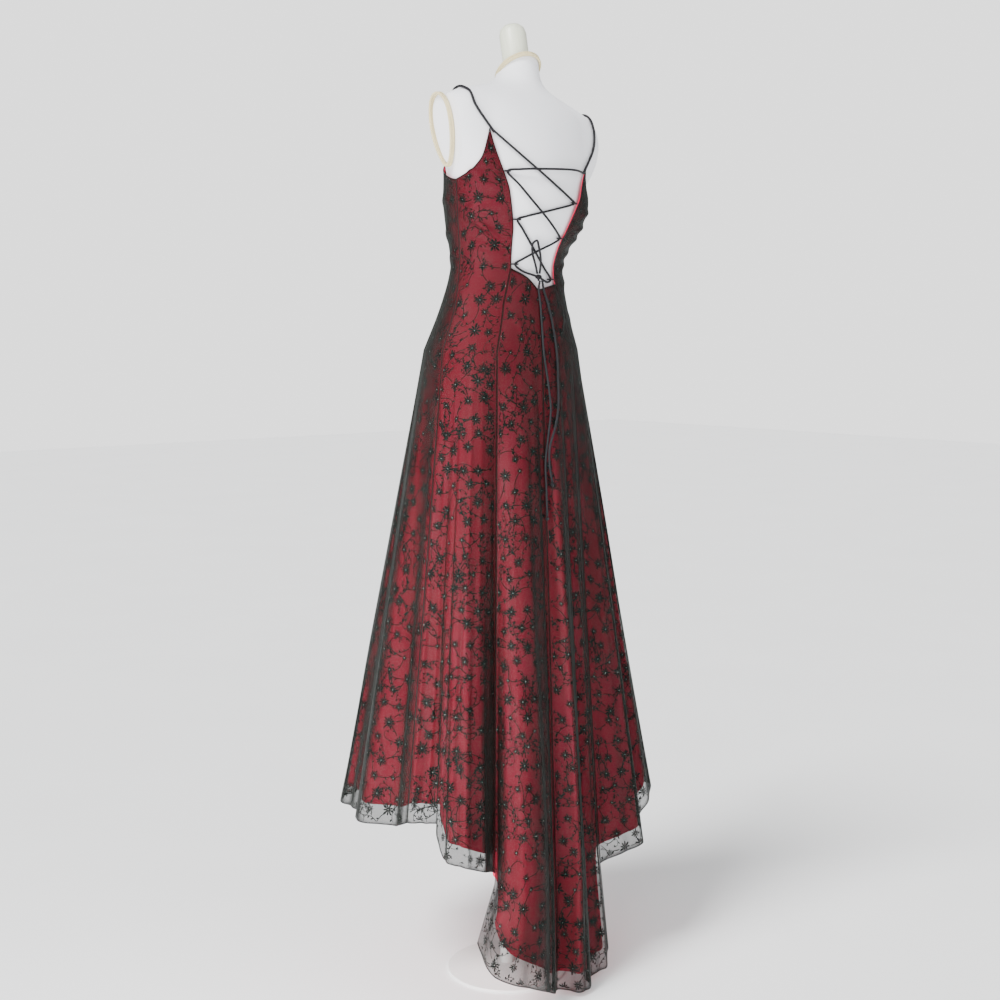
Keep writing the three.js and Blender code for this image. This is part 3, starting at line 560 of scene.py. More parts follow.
def hem_height(hem, line):
    if hem is skirt_hem:
        line = np.where(line < 0, line + 360, line)
    return np.interp(line, *hem.T)


def panel_grid(panel, inset, raised=0.0, reveal=(0.0, 0.0)):
    """The panel's points, rows running down, and their flat coordinates in metres.
    reveal widens the lining a little past the back opening's left and right edge. Its
    edges along the train stand back behind the organza's."""
    first, second, hem, top_edge, columns = panel
    share = np.linspace(0, 1, columns + 1)
    top = smooth_value(np.array(top_edge), 1, share)
    hem_line = first(hem_level) + (second(hem_level) - first(hem_level)) * share
    low = hem_height(hem, hem_line) + raised
    if top.max() > waist:
        stops = [(0, top), (48, waist), (68, hip)]
    else:
        stops = [(0, top), (22, hip)]
    last = 144 if top.max() > waist else 150
    stops.append((last, low))
    rows = np.arange(last + 1)
    places = [stop[0] for stop in stops]
    heights = np.array([
        np.interp(rows, places, [np.broadcast_to(s[1], top.shape)[i] for s in stops])
        for i in range(columns + 1)
    ]).T
    start, end = first(heights), second(heights)
    free = np.clip((inset_start - heights) / inset_over, 0, 1) * (inset > 0)
    if second is left_seam:
        end = end - train_edge_inset[0] * free
    if first is right_seam:
        start = start + train_edge_inset[1] * free
    above = np.clip((heights - reveal_start) / reveal_over, 0, 1)
    if first is left_seam:
        start = start - above * reveal[0]
    if second is right_seam:
        end = end + above * reveal[1]
    line = start + (end - start) * share
    fall = np.clip((hip - heights) / (hip - hem_level), 0, 1)
    depth = inset * (wall + layer_gap_top + (layer_gap_hem - layer_gap_top) * fall)
    grid = cloth_point(line, heights, depth)
    across = np.linalg.norm(np.diff(grid, axis=1), axis=2)
    down = np.linalg.norm(np.diff(grid, axis=0), axis=2)
    u = np.concatenate([np.zeros((last + 1, 1)), np.cumsum(across, axis=1)], axis=1)
    u -= u[:, [columns // 2]]
    v = -np.concatenate([np.zeros((1, columns + 1)), np.cumsum(down, axis=0)], axis=0)
    v -= 1.75 - heights[0]
    return grid, u, v, across, down


def grid_mesh(grid, u, v):
    rows, columns = grid.shape[0] - 1, grid.shape[1] - 1
    corner = np.arange(rows * (columns + 1)).reshape(rows, columns + 1)[:, :-1].ravel()
    step = columns + 1
    faces = np.stack([corner, corner + step, corner + step + 1, corner + 1], axis=1)
    flat = np.stack([u.ravel(), v.ravel()], axis=1)
    return grid.reshape(-1, 3), faces.tolist(), flat


def cloth_sheet(name, grid, u, v, across, down, material, thickness, node):
    """One panel of cloth, with the flat coordinates that it was cut to, in metres, as its UV map.
    """
    piece = add_mesh(name, grid_mesh(grid, u, v), material)
    rows, columns = grid.shape[:2]
    edge = np.minimum(
        np.minimum(u - u[:, :1], u[:, -1:] - u),
        np.minimum(v[:1] - v, v - v[-1:]),
    )
    attribute = piece.data.attributes.new("edge_distance", "FLOAT", "POINT")
    attribute.data.foreach_set("value", edge.astype(np.float32).ravel())
    shell = piece.modifiers.new("shell", "SOLIDIFY")
    shell.thickness = thickness
    shell.offset = -1
    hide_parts(node)
    return piece


def satin_material():
    """Crimson satin: long floats of bright yarn, a strong soft shine along the weft."""
    material, nodes, links, shader = new_material(
        "crimson_satin", Roughness=0.5, Sheen_Weight=0.12, Sheen_Roughness=0.35,
        Anisotropic=0.4, Specular_IOR_Level=0.4,
    )
    shader.inputs["Sheen Tint"].default_value = (1.0, 0.45, 0.52, 1)
    uneven = noise_on(nodes, links, flat_vector(nodes, links, (1, 0.35, 1)), 9.0)
    colour = ramp_of(nodes, links, uneven, [
        (0.25, (0.74, 0.008, 0.056)), (0.55, (0.82, 0.014, 0.078)),
        (0.8, (0.88, 0.028, 0.112)),
    ])
    links.new(colour, shader.inputs["Base Color"])
    floats = noise_on(nodes, links, flat_vector(nodes, links, (3600, 700, 1)), 1.0, 2.0)
    bump_from(nodes, links, floats, 0.0002, 0.35, shader)
    return material


crimson_satin = satin_material()
for name, panel in panels.items():
    grid, u, v, across, down = panel_grid(panel, 1.0, lining_shorter, lining_reveal)
    piece = cloth_sheet(
        f"satin_{name}", grid, u, v, across, down, crimson_satin, 0.0006,
        f"lining_{name}",
    )


# Outer layer: the same seven panels in sheer black organza, its seams pressed open, its
# edges finished with a narrow rolled hem. The red shows through it where it is seen
# square on, and it closes to grey and black where it turns away.
def organza_material():
    """Sheer black organza: fine open weave, denser along seams and hems."""
    material, nodes, links, shader = new_material(
        "black_organza", Roughness=0.6, Sheen_Weight=0.02, Sheen_Roughness=0.4,
        Specular_IOR_Level=0.1,
    )
    shader.inputs["Sheen Tint"].default_value = (0.70, 0.74, 0.72, 1)
    facing = nodes.new("ShaderNodeLayerWeight")
    facing.inputs["Blend"].default_value = 0.5
    cloudy = noise_on(nodes, links, flat_vector(nodes, links, (1, 0.5, 1)), 22.0)
    shade = ramp_of(nodes, links, cloudy, [
        (0.3, (0.004, 0.005, 0.004)), (0.7, (0.012, 0.014, 0.012)),
    ])
    links.new(shade, shader.inputs["Base Color"])
    turned_away = ramp_of(nodes, links, facing.outputs["Facing"], [
        (0.0, 0.40), (0.15, 0.42), (0.3, 0.48), (0.5, 0.68), (0.75, 0.93),
    ])
    edge = nodes.new("ShaderNodeAttribute")
    edge.attribute_name = "edge_distance"
    pressed = nodes.new("ShaderNodeMapRange")
    pressed.inputs["From Min"].default_value = 0.0015
    pressed.inputs["From Max"].default_value = 0.0045
    pressed.inputs["To Min"].default_value = 0.6
    pressed.inputs["To Max"].default_value = 0.0
    links.new(edge.outputs["Fac"], pressed.inputs["Value"])
    cover = nodes.new("ShaderNodeMath")
    cover.operation = "MAXIMUM"
    links.new(turned_away, cover.inputs[0])
    links.new(pressed.outputs["Result"], cover.inputs[1])
    links.new(cover.outputs["Value"], shader.inputs["Alpha"])
    weave = noise_on(nodes, links, flat_vector(nodes, links, (2600, 2600, 1)), 1.0, 1.0)
    bump_from(nodes, links, weave, 0.0001, 0.25, shader)
    return material


black_organza = organza_material()
overlays = {}
for name, panel in panels.items():
    grid, u, v, across, down = panel_grid(panel, 0.0)
    piece = cloth_sheet(
        f"organza_{name}", grid, u, v, across, down, black_organza, 0.0003,
        f"overlay_{name}",
    )
    overlays[name] = {"piece": piece, "grid": grid, "u": u, "v": v,
                      "across": across, "down": down, "with": []}


# Flowers and vines: black flock laid on the organza all over. Daisies of eight to twelve
# narrow petals, and thin curling stems with small leaves and buds between them.
flower_spacing, row_share = 0.039, 0.87
flower_sizes = 0.014, 0.020, 0.023, 0.026, 0.030
flower_scatter = 0.009, 0.008
vine_longs, vine_curls, vine_half, vine_steps = (0.032, 0.060), (1.6, 5.6), 0.0009, 13
leaf_longs, bud_sizes = (0.0055, 0.0085), (0.005, 0.0075)
flock_lift, dot_lift = 0.00035, 0.0002
panel_margin = 0.003
first_seed = 410


def flock_material():
    """Short black pile, soft and slightly green-grey where the light rakes it."""
    material, nodes, links, shader = new_material(
        "black_flock", Roughness=0.75, Sheen_Weight=0.08, Sheen_Roughness=0.5
    )
    shader.inputs["Sheen Tint"].default_value = (0.62, 0.66, 0.64, 1)
    pile = noise_on(nodes, links, flat_vector(nodes, links, (1500, 1500, 1)), 1.0, 2.0)
    shade = ramp_of(nodes, links, pile, [
        (0.3, (0.003, 0.003, 0.003)), (0.8, (0.014, 0.015, 0.015)),
    ])
    links.new(shade, shader.inputs["Base Color"])
    bump_from(nodes, links, pile, 0.0004, 0.6, shader)
    return material


def daisy(centre, size, petals, turn):
    """Flat petals round a small disc: each is a kite with a rounded end."""
    points, faces = [], []
    for k in range(petals):
        a = turn + 2 * math.pi * k / petals
        out = np.array([math.cos(a), math.sin(a)])
        across = np.array([-out[1], out[0]])
        reach = size / 2 * (0.86 + 0.14 * math.sin(3.7 * k + turn))
        wide = reach * math.pi / petals * 0.44
        start = len(points)
        for along, half in ((0.10, 0.35), (0.62, 1.0), (0.90, 0.72)):
            points.append(centre + out * reach * along - across * wide * half)
            points.append(centre + out * reach * along + across * wide * half)
        points.append(centre + out * reach)
        faces.append((start, start + 2, start + 3, start + 1))
        faces.append((start + 2, start + 4, start + 5, start + 3))
        faces.append((start + 4, start + 6, start + 5))
    hub = len(points)
    for k in range(6):
        a = turn + math.pi * k / 3
        points.append(centre + np.array([math.cos(a), math.sin(a)]) * size * 0.13)
    faces.append(tuple(range(hub, hub + 6)))
    return points, faces


def leaf(at, heading, long):
    out = np.array([math.cos(heading), math.sin(heading)])
    across = np.array([-out[1], out[0]])
    points = [
        at, at + out * long * 0.5 - across * long * 0.24, at + out * long,
        at + out * long * 0.5 + across * long * 0.24,
    ]
    return points, [(0, 1, 2, 3)]


def vine(at, heading, long, curl, rng):
    """A thin stem that bends more and more into a curl, with leaves along it."""
    shapes = []
    spot = np.array(at, float)
    left, right = [], []
    for k in range(vine_steps + 1):
        share = k / vine_steps
        out = np.array([math.cos(heading), math.sin(heading)])
        across = np.array([-out[1], out[0]])
        half = vine_half * (1 - 0.55 * share)
        left.append(spot + across * half)
        right.append(spot - across * half)
        if k in (3, 6, 9) and rng.random() < 0.8:
            side = rng.choice((-1, 1))
            shapes.append(leaf(spot, heading + side * 0.9, rng.uniform(*leaf_longs)))
        spot = spot + out * long / vine_steps
        heading += curl * (0.25 + 1.9 * share * share) / vine_steps
    points = [p for pair in zip(left, right) for p in pair]
    faces = [(2 * k + 1, 2 * k + 3, 2 * k + 2, 2 * k) for k in range(vine_steps)]
    shapes.append((points, faces))
    shapes.append(daisy(left[-1], rng.uniform(*bud_sizes), 5, heading))
    return shapes


def motif_shapes(wide, top, low, rng):
    """The motifs in flat coordinates, laid out from the top of a panel to its hem."""
    shapes, centres = [], []
    row_height = flower_spacing * row_share
    rows = int((top - low) / row_height) + 1
    for row in range(rows + 1):
        y = top - row * row_height
        count = int(wide / flower_spacing) + 2
        for column in range(-count, count + 1):
            x = (column + 0.5 * (row % 2)) * flower_spacing
            x += rng.uniform(-1, 1) * flower_scatter[0]
            here = np.array([x, y + rng.uniform(-1, 1) * flower_scatter[1]])
            size = rng.choice(flower_sizes)
            turn = rng.uniform(0, 6)
            shapes.append((here, daisy(here, size, rng.randint(9, 12), turn)))
            centres.append(here)
            for _ in range(rng.choice((1, 2, 2, 3))):
                heading = rng.uniform(0, 2 * math.pi)
                start = here + size * 0.5 * np.array([math.cos(heading), math.sin(heading)])
                curl = rng.choice((-1, 1)) * rng.uniform(*vine_curls)
                for shape in vine(start, heading, rng.uniform(*vine_longs), curl, rng):
                    shapes.append((here, shape))
    return shapes, centres


def on_cloth(points, grid, normals, u, v):
    """Places flat points on the panel's surface. Returns places and whether each lies
    inside the panel, clear of its edges."""
    points = np.asarray(points)
    x, y = points[:, :1], points[:, 1]
    rows, columns = u.shape
    column = np.full(len(points), columns // 2)
    share = np.zeros((len(points), 1))
    each = np.arange(len(points))
    for _ in range(3):
        down = v[:, column] * (1 - share[:, 0]) + v[:, column + 1] * share[:, 0]
        low = np.clip((down > y).sum(axis=0) - 1, 0, rows - 2)
        part = np.clip((down[low, each] - y) / (down[low, each] - down[low + 1, each]), 0, 1)
        part = part[:, None]
        along = u[low] * (1 - part) + u[low + 1] * part
        column = np.clip((along < x).sum(axis=1) - 1, 0, columns - 2)
        start, end = along[each, column][:, None], along[each, column + 1][:, None]
        share = np.clip((x - start) / (end - start), 0, 1)
    inside = (x > along[:, :1] + panel_margin) & (x < along[:, -1:] - panel_margin)
    inside = inside[:, 0] & (y < down[0] - panel_margin) & (y > down[-1] + panel_margin)

    def mixed(field):
        upper = field[low, column] * (1 - share) + field[low, column + 1] * share
        under = field[low + 1, column] * (1 - share) + field[low + 1, column + 1] * share
        return upper * (1 - part) + under * part

    return mixed(grid) + mixed(normals) * flock_lift, inside


def grid_normals(grid):
    down = np.gradient(grid, axis=0)
    across = np.gradient(grid, axis=1)
    out = np.cross(down, across)
    return out / np.linalg.norm(out, axis=2, keepdims=True)


black_flock = flock_material()
for index, (name, panel) in enumerate(overlays.items()):
    rng = random.Random(first_seed + index)
    u, v = panel["u"], panel["v"]
    top, low = float(v[0].max()), float(v[-1].min())
    shapes, centres = motif_shapes(float(np.abs(u).max()), top, low, rng)
    normals = grid_normals(panel["grid"])
    points = np.vstack([np.array(shape[0]) for _, shape in shapes])
    places, inside = on_cloth(points, panel["grid"], normals, u, v)
    faces, first = [], 0
    for _, (corners, sides) in shapes:
        for side in sides:
            if all(inside[first + k] for k in side):
                faces.append(tuple(first + k for k in side))
        first += len(corners)
    used = np.unique(np.concatenate([np.array(side) for side in faces]))
    renumber = np.zeros(len(points), int)
    renumber[used] = np.arange(len(used))
    faces = [tuple(renumber[list(side)].tolist()) for side in faces]
    flowers = add_mesh(
        f"flowers_{name}", (places[used], faces, points[used]), black_flock
    )
    panel["with"].append(flowers)
    spots, inside = on_cloth(centres, panel["grid"], normals, u, v)
    panel["dots"] = spots[inside] + dot_lift


# Glitter: a small pale dot glued on the middle of every flower.
dot_radius = 0.0008


def dots_tree():
    """Geometry nodes: a round dot on every point, made real, with its material."""
    tree = bpy.data.node_groups.new("glitter_dots", "GeometryNodeTree")
    tree.interface.new_socket("Geometry", in_out="INPUT", socket_type="NodeSocketGeometry")
    size = tree.interface.new_socket("Dot radius", in_out="INPUT", socket_type="NodeSocketFloat")
    paint = tree.interface.new_socket(
        "Material", in_out="INPUT", socket_type="NodeSocketMaterial"
    )
    tree.interface.new_socket("Geometry", in_out="OUTPUT", socket_type="NodeSocketGeometry")
    nodes, links = tree.nodes, tree.links
    start, end = nodes.new("NodeGroupInput"), nodes.new("NodeGroupOutput")
    dot = nodes.new("GeometryNodeMeshIcoSphere")
    dot.inputs["Subdivisions"].default_value = 1
    place = nodes.new("GeometryNodeInstanceOnPoints")
    real = nodes.new("GeometryNodeRealizeInstances")
    finish = nodes.new("GeometryNodeSetMaterial")
    links.new(start.outputs["Dot radius"], dot.inputs["Radius"])
    links.new(start.outputs["Geometry"], place.inputs["Points"])
    links.new(dot.outputs["Mesh"], place.inputs["Instance"])
    links.new(place.outputs["Instances"], real.inputs["Geometry"])
    links.new(real.outputs["Geometry"], finish.inputs["Geometry"])
    links.new(start.outputs["Material"], finish.inputs["Material"])
    links.new(finish.outputs["Geometry"], end.inputs["Geometry"])
    return tree, size.identifier, paint.identifier


def glitter_material():
    """Silver glitter, a little uneven in colour."""
    material, nodes, links, shader = new_material(
        "silver_glitter", Roughness=0.28, Metallic=0.7
    )
    where = nodes.new("ShaderNodeTexCoord")
    speck = noise_on(nodes, links, where.outputs["Object"], 900, 1.0)
    shade = ramp_of(nodes, links, speck, [
        (0.3, (0.30, 0.30, 0.29)), (0.7, (0.66, 0.65, 0.62)),
    ])
    links.new(shade, shader.inputs["Base Color"])
    return material


silver_glitter = glitter_material()
dots, size_socket, paint_socket = dots_tree()
for name, panel in overlays.items():
    cloud = bpy.data.meshes.new(f"dots_{name}")
    cloud.from_pydata(leaned(panel["dots"]).tolist(), [], [])
    source = bpy.data.objects.new(f"dot_points_{name}", cloud)
    bpy.context.collection.objects.link(source)
    grow = source.modifiers.new("dots", "NODES")
    grow.node_group = dots
    grow[size_socket] = dot_radius
    grow[paint_socket] = silver_glitter
    source.update_tag()
    graph = bpy.context.evaluated_depsgraph_get()
    mesh = bpy.data.meshes.new_from_object(source.evaluated_get(graph))
    bpy.data.objects.remove(source)
    piece = bpy.data.objects.new(f"glitter_{name}", mesh)
    bpy.context.collection.objects.link(piece)
    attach(piece, "root")
    panel["with"].append(piece)


# Seams and rolled hems of the organza: a fine black ridge along each princess seam and
# the centre back seam, and a narrow rolled edge round the neck, the armholes, the back
# opening and the hem.
seam_radius = 0.0004
rolled_radius = 0.0009
left_opening_foot, right_opening_foot = 1.468, 1.440


def edge_ridge(points, normals, radius):
    return cord_mesh(points + normals * radius * 0.6, radius, 6)


for name, panel in overlays.items():
    grid, normals = panel["grid"], grid_normals(panel["grid"])
    first, second = panels[name][:2]
    parts = [
        edge_ridge(grid[0], normals[0], rolled_radius),
        edge_ridge(grid[-1], normals[-1], rolled_radius),
    ]
    for column, seam in ((0, first), (-1, second)):
        line, line_normals = grid[:, column], normals[:, column]
        open_edge = seam in (left_seam, right_seam) and name.startswith("side_back")
        if open_edge:
            foot = right_opening_foot if seam is right_seam else left_opening_foot
            free = line[:, 2] > foot
            parts.append(edge_ridge(line[free], line_normals[free], rolled_radius))
            line, line_normals = line[~free], line_normals[~free]
        if column == 0:
            parts.append(edge_ridge(line, line_normals, seam_radius))
    rolled = add_mesh(f"sewn_edges_{name}", joined(parts), black_cord)
    panel["with"].append(rolled)


# Shoulder straps: round black cord, sewn into the points of the back and the front, and
# stretched over the shoulders of the form.
strap_radius = 0.0027
strap_place_tip, strap_place_top, strap_bow = 0.127, 0.150, 0.010
strap_end_lift, strap_gap = 0.0042, 0.0014
shoulder_search, strap_shares = 1.800, [0.35, 0.55, 0.72, 0.86, 0.95, 0.99]
front_tip = (146, 1.701)


def form_route(rows):
    line, height, lift = np.array(rows).T
    return form_point(line, height, -lift)


def strap_route(side, back_tip):
    """From the point of the back piece over the shoulder to the front's."""
    lift = strap_radius + strap_gap
    top = shoulder_search
    while smooth_value(form_sections, 1, top) > strap_place_top:
        top += 0.0005
    points = [form_point(*back_tip, -strap_end_lift)]
    for front, start in ((False, back_tip[1]), (True, front_tip[1])):
        for share in reversed(strap_shares) if front else strap_shares:
            z = start + (top - start) * share
            half = float(smooth_value(form_sections, 1, z))
            aside = strap_place_tip + (strap_place_top - strap_place_tip) * share
            aside += strap_bow * math.sin(math.pi * share)
            reach = math.degrees(math.asin(min(1, aside / half)))
            turn = 180 - reach if front else reach
            up = form_point(turn, z + 0.002, 0) - form_point(turn, z - 0.002, 0)
            up /= np.linalg.norm(up)
            out = form_point(turn, z, -0.001) - form_point(turn, z, 0)
            out -= up * np.dot(out, up)
            points.append(form_point(turn, z, 0) + out / np.linalg.norm(out) * lift)
    points.append(form_point(*front_tip, -strap_end_lift))
    return np.array(points) * [side, 1, 1]


for name, side, back_tip in (("left", 1, (45, 1.733)), ("right", -1, (44, 1.687))):
    route = smooth_route(strap_route(side, back_tip), 0.006)
    below = [2 * route[0] - route[2]], [2 * route[-1] - route[-3]]
    route = np.vstack([below[0], route, below[1]])
    strap = add_mesh(
        f"shoulder_strap_{name}", cord_mesh(route, strap_radius, 12), black_cord
    )
    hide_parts(f"strap_{name}")


# Lacing: six loops of thin cord on the edges of the opening, and the lace itself, which
# starts at both points of the back, crosses through the loops and is tied at the waist.
loop_radius = 0.0014
lace_from_left = [
    (44.4, 1.729, 0.005), (24, 1.688, 0.0042), (3, 1.648, 0.0042), (-18, 1.618, 0.0044),
    (-28, 1.608, 0.005), (-24, 1.603, 0.0044), (2, 1.582, 0.0042), (22, 1.567, 0.0044),
    (29.4, 1.560, 0.005), (24, 1.544, 0.0044), (6, 1.5035, 0.0042), (-10, 1.470, 0.0044),
    (-18.6, 1.449, 0.005), (-13, 1.443, 0.006), (-3.3, 1.4494, 0.0093),
]
lace_from_right = [
    (-41.4, 1.678, 0.005), (-24, 1.676, 0.009), (4, 1.665, 0.0092), (26, 1.656, 0.008),
    (36.4, 1.650, 0.005), (29, 1.625, 0.008), (4, 1.568, 0.0092), (-12, 1.541, 0.0084),
    (-19.6, 1.532, 0.005), (-13, 1.523, 0.0084), (5, 1.503, 0.0094), (18, 1.487, 0.008),
    (24.6, 1.477, 0.005), (18, 1.465, 0.006), (3.3, 1.4546, 0.0093),
]
bow_loop = [
    (1.4, 1.4597, 0.0094), (6, 1.478, 0.0145), (11.5, 1.500, 0.015),
    (13, 1.517, 0.015), (10, 1.523, 0.015), (6.5, 1.512, 0.015), (1, 1.488, 0.015),
    (-1.4, 1.4597, 0.0094),
]
knot_place = (0, 1.452, 0.0092)
edge_loops = {
    "left_upper": (36.4, 1.650), "left_middle": (29.4, 1.560), "left_lower": (24.6, 1.477),
    "right_upper": (-28, 1.608), "right_middle": (-19.6, 1.532),
    "right_lower": (-18.6, 1.449),
}


def loop_route(line, z):
    """Out of the cloth's edge, round the lace where it turns, and back."""
    edge = float(left_seam(z) if line > 0 else right_seam(z))
    return [
        form_point(edge + (line - edge) * to_lace, z, -lift)
        for to_lace, lift in (
            (0.16, 0.0052), (0.55, 0.0082), (1, 0.009), (1.6, 0.0078), (1.85, 0.005),
            (1.6, 0.0024), (1, 0.0016), (0.5, 0.0019), (0.16, 0.003),
        )
    ]


for name, (line, z) in edge_loops.items():
    route = smooth_route(loop_route(line, z), 0.0015)
    loop = add_mesh(
        f"lacing_loop_{name}", cord_mesh(route, loop_radius, 8), black_cord
    )
    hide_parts(f"edge_loop_{name}")

for name, rows, node in (
    ("lace_crossing_from_left", lace_from_left, "lace_from_left"),
    ("lace_crossing_from_right", lace_from_right, "lace_from_right"),
    ("bow", bow_loop, "bow_loop"),
):
    route = smooth_route(form_route(rows), 0.005)
    lace = add_mesh(name, cord_mesh(route, lace_radius, 12), black_cord)
    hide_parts(node)

knot_middle = form_point(knot_place[0], knot_place[1], -knot_place[2])
knot = add_mesh(
    "lace_bow_knot", knotted(knot_middle, 0.0056, 0.0021, 0.8), black_cord
)
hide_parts("lace_knot")


# Dress form: a limbless torso of padded white jersey, cut flat at the arms, where a
# plate closes it, with cream braid round the plates and the neck.
def jersey_material():
    """White stretched jersey: fine knit ribs, a faint cool shade."""
    material, nodes, links, shader = new_material(
        "white_jersey", Roughness=0.8, Sheen_Weight=0.3, Sheen_Roughness=0.5
    )
    where = nodes.new("ShaderNodeTexCoord")
    soft = noise_on(nodes, links, where.outputs["Object"], 7.0)
    shade = ramp_of(nodes, links, soft, [
        (0.3, (0.83, 0.83, 0.87)), (0.7, (0.88, 0.88, 0.91)),
    ])
    links.new(shade, shader.inputs["Base Color"])
    stretch = nodes.new("ShaderNodeMapping")
    stretch.inputs["Scale"].default_value = (900, 900, 420)
    links.new(where.outputs["Object"], stretch.inputs["Vector"])
    knit = noise_on(nodes, links, stretch.outputs["Vector"], 1.0, 1.0)
    bump_from(nodes, links, knit, 0.0003, 0.3, shader)
    return material


white_jersey = jersey_material()
arm_plane, arm_setback = 0.174, 0.030
arm_turn, arm_tilt = math.radians(12), math.radians(10)
arm_height = 1.732
plate_half_deep, plate_half_high, plate_forward = 0.038, 0.068, -0.010
plate_egg, plate_skew = 0.25, 0.12
arm_braid_out, arm_braid_margin = 0.006, 0.0042
torso_around, torso_levels = 96, 90
arm_cut_heights, neck_cut_heights = (1.6, 1.868), (1.837, 2)
neck_cut_height, neck_tilt = 1.882, math.radians(36)
neck_middle = np.array([0, -0.0032, neck_cut_height])
neck_normal = np.array([0, -math.sin(neck_tilt), math.cos(neck_tilt)])
neck_upwards = np.array([0, math.cos(neck_tilt), math.sin(neck_tilt)])


def arm_point(side, out, along, up):
    """A place measured from the middle of an arm opening: out of its plane, along it
    towards the back, and up."""
    tilt, turn = side * arm_tilt, -side * arm_turn
    x = side * out * math.cos(tilt) + up * math.sin(tilt)
    z = up * math.cos(tilt) - side * out * math.sin(tilt)
    aside = side * arm_plane * math.cos(arm_turn)
    behind = arm_setback - arm_plane * math.sin(arm_turn)
    return np.array([
        x * math.cos(turn) - along * math.sin(turn) + aside,
        x * math.sin(turn) + along * math.cos(turn) + behind,
        arm_height + z,
    ])


def arm_outline(side, out, size, margin, count):
    """Points round an arm plate: an egg with its narrow end down."""
    points = []
    for a in np.linspace(0, 2 * math.pi, count, endpoint=False):
        deep = plate_half_deep * math.cos(a) * (1 + plate_egg * math.sin(a)) * size
        high = plate_half_high * math.sin(a) * size
        grown = 1 + margin / math.hypot(deep, high)
        deep, high = deep * grown, high * grown
        points.append(arm_point(side, out, plate_forward + deep - plate_skew * high, high))
    return np.array(points)


heights = np.linspace(form_sections[0, 0], form_sections[-1, 0], torso_levels + 1)
lines = np.linspace(0, 360, torso_around, endpoint=False)
rings = form_point(*np.meshgrid(lines, heights), 0)


def cut_torso(torso, place, normal, low, high):
    """Cuts the torso flat on a plane, between two heights, and closes the opening."""
    near = [f for f in torso.faces if all(low < v.co.z < high for v in f.verts)]
    edges = list({e for f in near for e in f.edges})
    verts = list({v for f in near for v in f.verts})
    cut = bmesh.ops.bisect_plane(
        torso, geom=near + edges + verts, plane_co=place, plane_no=normal,
        clear_outer=True,
    )
    rim = [e for e in cut["geom_cut"] if isinstance(e, bmesh.types.BMEdge)]
    bmesh.ops.holes_fill(torso, edges=rim, sides=0)


torso_bm = bmesh.new()
corners = [[torso_bm.verts.new(p) for p in ring] for ring in rings]
for low_ring, high_ring in zip(corners, corners[1:]):
    for i in range(torso_around):
        k = (i + 1) % torso_around
        torso_bm.faces.new((low_ring[i], high_ring[i], high_ring[k], low_ring[k]))
torso_bm.faces.new(corners[0])
torso_bm.faces.new(list(reversed(corners[-1])))
for side in (-1, 1):
    middle = arm_point(side, 0, 0, 0)
    cut_torso(torso_bm, middle, arm_point(side, 1, 0, 0) - middle, *arm_cut_heights)
cut_torso(torso_bm, neck_middle, neck_normal, *neck_cut_heights)
bmesh.ops.recalc_face_normals(torso_bm, faces=torso_bm.faces)
for vertex in torso_bm.verts:
    vertex.co = leaned(vertex.co)
torso_mesh = bpy.data.meshes.new("torso")
torso_bm.to_mesh(torso_mesh)
torso_bm.free()
torso_mesh.shade_smooth()
torso_mesh.set_sharp_from_angle(angle=math.radians(35))
torso_mesh.materials.append(white_jersey)
torso = bpy.data.objects.new("torso", torso_mesh)
bpy.context.collection.objects.link(torso)
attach(torso, "root")
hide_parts("form_torso")


def plate_mesh(side):
    """A thin oval plate with a rounded edge."""
    rims = [(0.0003, 1.0), (0.0028, 1.0), (0.0040, 0.985), (0.0043, 0.95), (0.0043, 0.5)]
    count = 64
    vertices = np.vstack([arm_outline(side, out, size, 0, count) for out, size in rims])
    faces = []
    for j in range(len(rims) - 1):
        for k in range(count):
            n = (k + 1) % count
            face = (j * count + k, j * count + n, (j + 1) * count + n, (j + 1) * count + k)
            faces.append(face if side > 0 else face[::-1])
    ring = tuple(range((len(rims) - 1) * count, len(rims) * count))
    back = tuple(range(count))
    faces.append(ring if side > 0 else ring[::-1])
    faces.append(back[::-1] if side > 0 else back)
    return vertices, faces, vertices[:, 1:]


def braid_material():
    """Cream viscose braid, its strands a little uneven in tone along their fibres."""
    material, nodes, links, shader = new_material(
        "cream_braid", Roughness=0.55, Sheen_Weight=0.35, Sheen_Roughness=0.4
    )
    fibre = noise_on(nodes, links, flat_vector(nodes, links, (300, 2600, 1)), 1.0, 2.0)
    shade = ramp_of(nodes, links, fibre, [
        (0.3, (0.52, 0.42, 0.20)), (0.7, (0.80, 0.71, 0.44)),
    ])
    links.new(shade, shader.inputs["Base Color"])
    bump_from(nodes, links, fibre, 0.0003, 0.5, shader)
    return material


def braided(points, outward, half_wide, half_thick, strands, pitch, strand_radius):
    """Strands that weave over and under each other along a closed ring of points."""
    points, outward = np.array(points), np.array(outward)
    along = np.roll(points, -1, axis=0) - np.roll(points, 1, axis=0)
    along /= np.linalg.norm(along, axis=1, keepdims=True)
    across = np.cross(along, outward)
    steps = np.linalg.norm(np.roll(points, -1, axis=0) - points, axis=1)
    place = np.concatenate([[0], np.cumsum(steps)[:-1]]) / steps.sum()
    turns = max(1, round(steps.sum() / pitch))
    parts = []
    for k in range(strands):
        phase = 2 * math.pi * (turns * place + k / strands)
        aside = half_wide * np.sin(phase)
        over = half_thick * np.sin(2 * phase)
        route = points + across * aside[:, None] + outward * over[:, None]
        parts.append(cord_mesh(route, strand_radius, 6, closed=True))
    return joined(parts)


def add_braid(name, route, outward, node):
    outward = outward / np.linalg.norm(outward, axis=1, keepdims=True)
    trim = add_mesh(
        name, braided(route, outward, 0.0043, 0.0013, 5, 0.020, 0.0017), cream_braid
    )
    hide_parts(node)


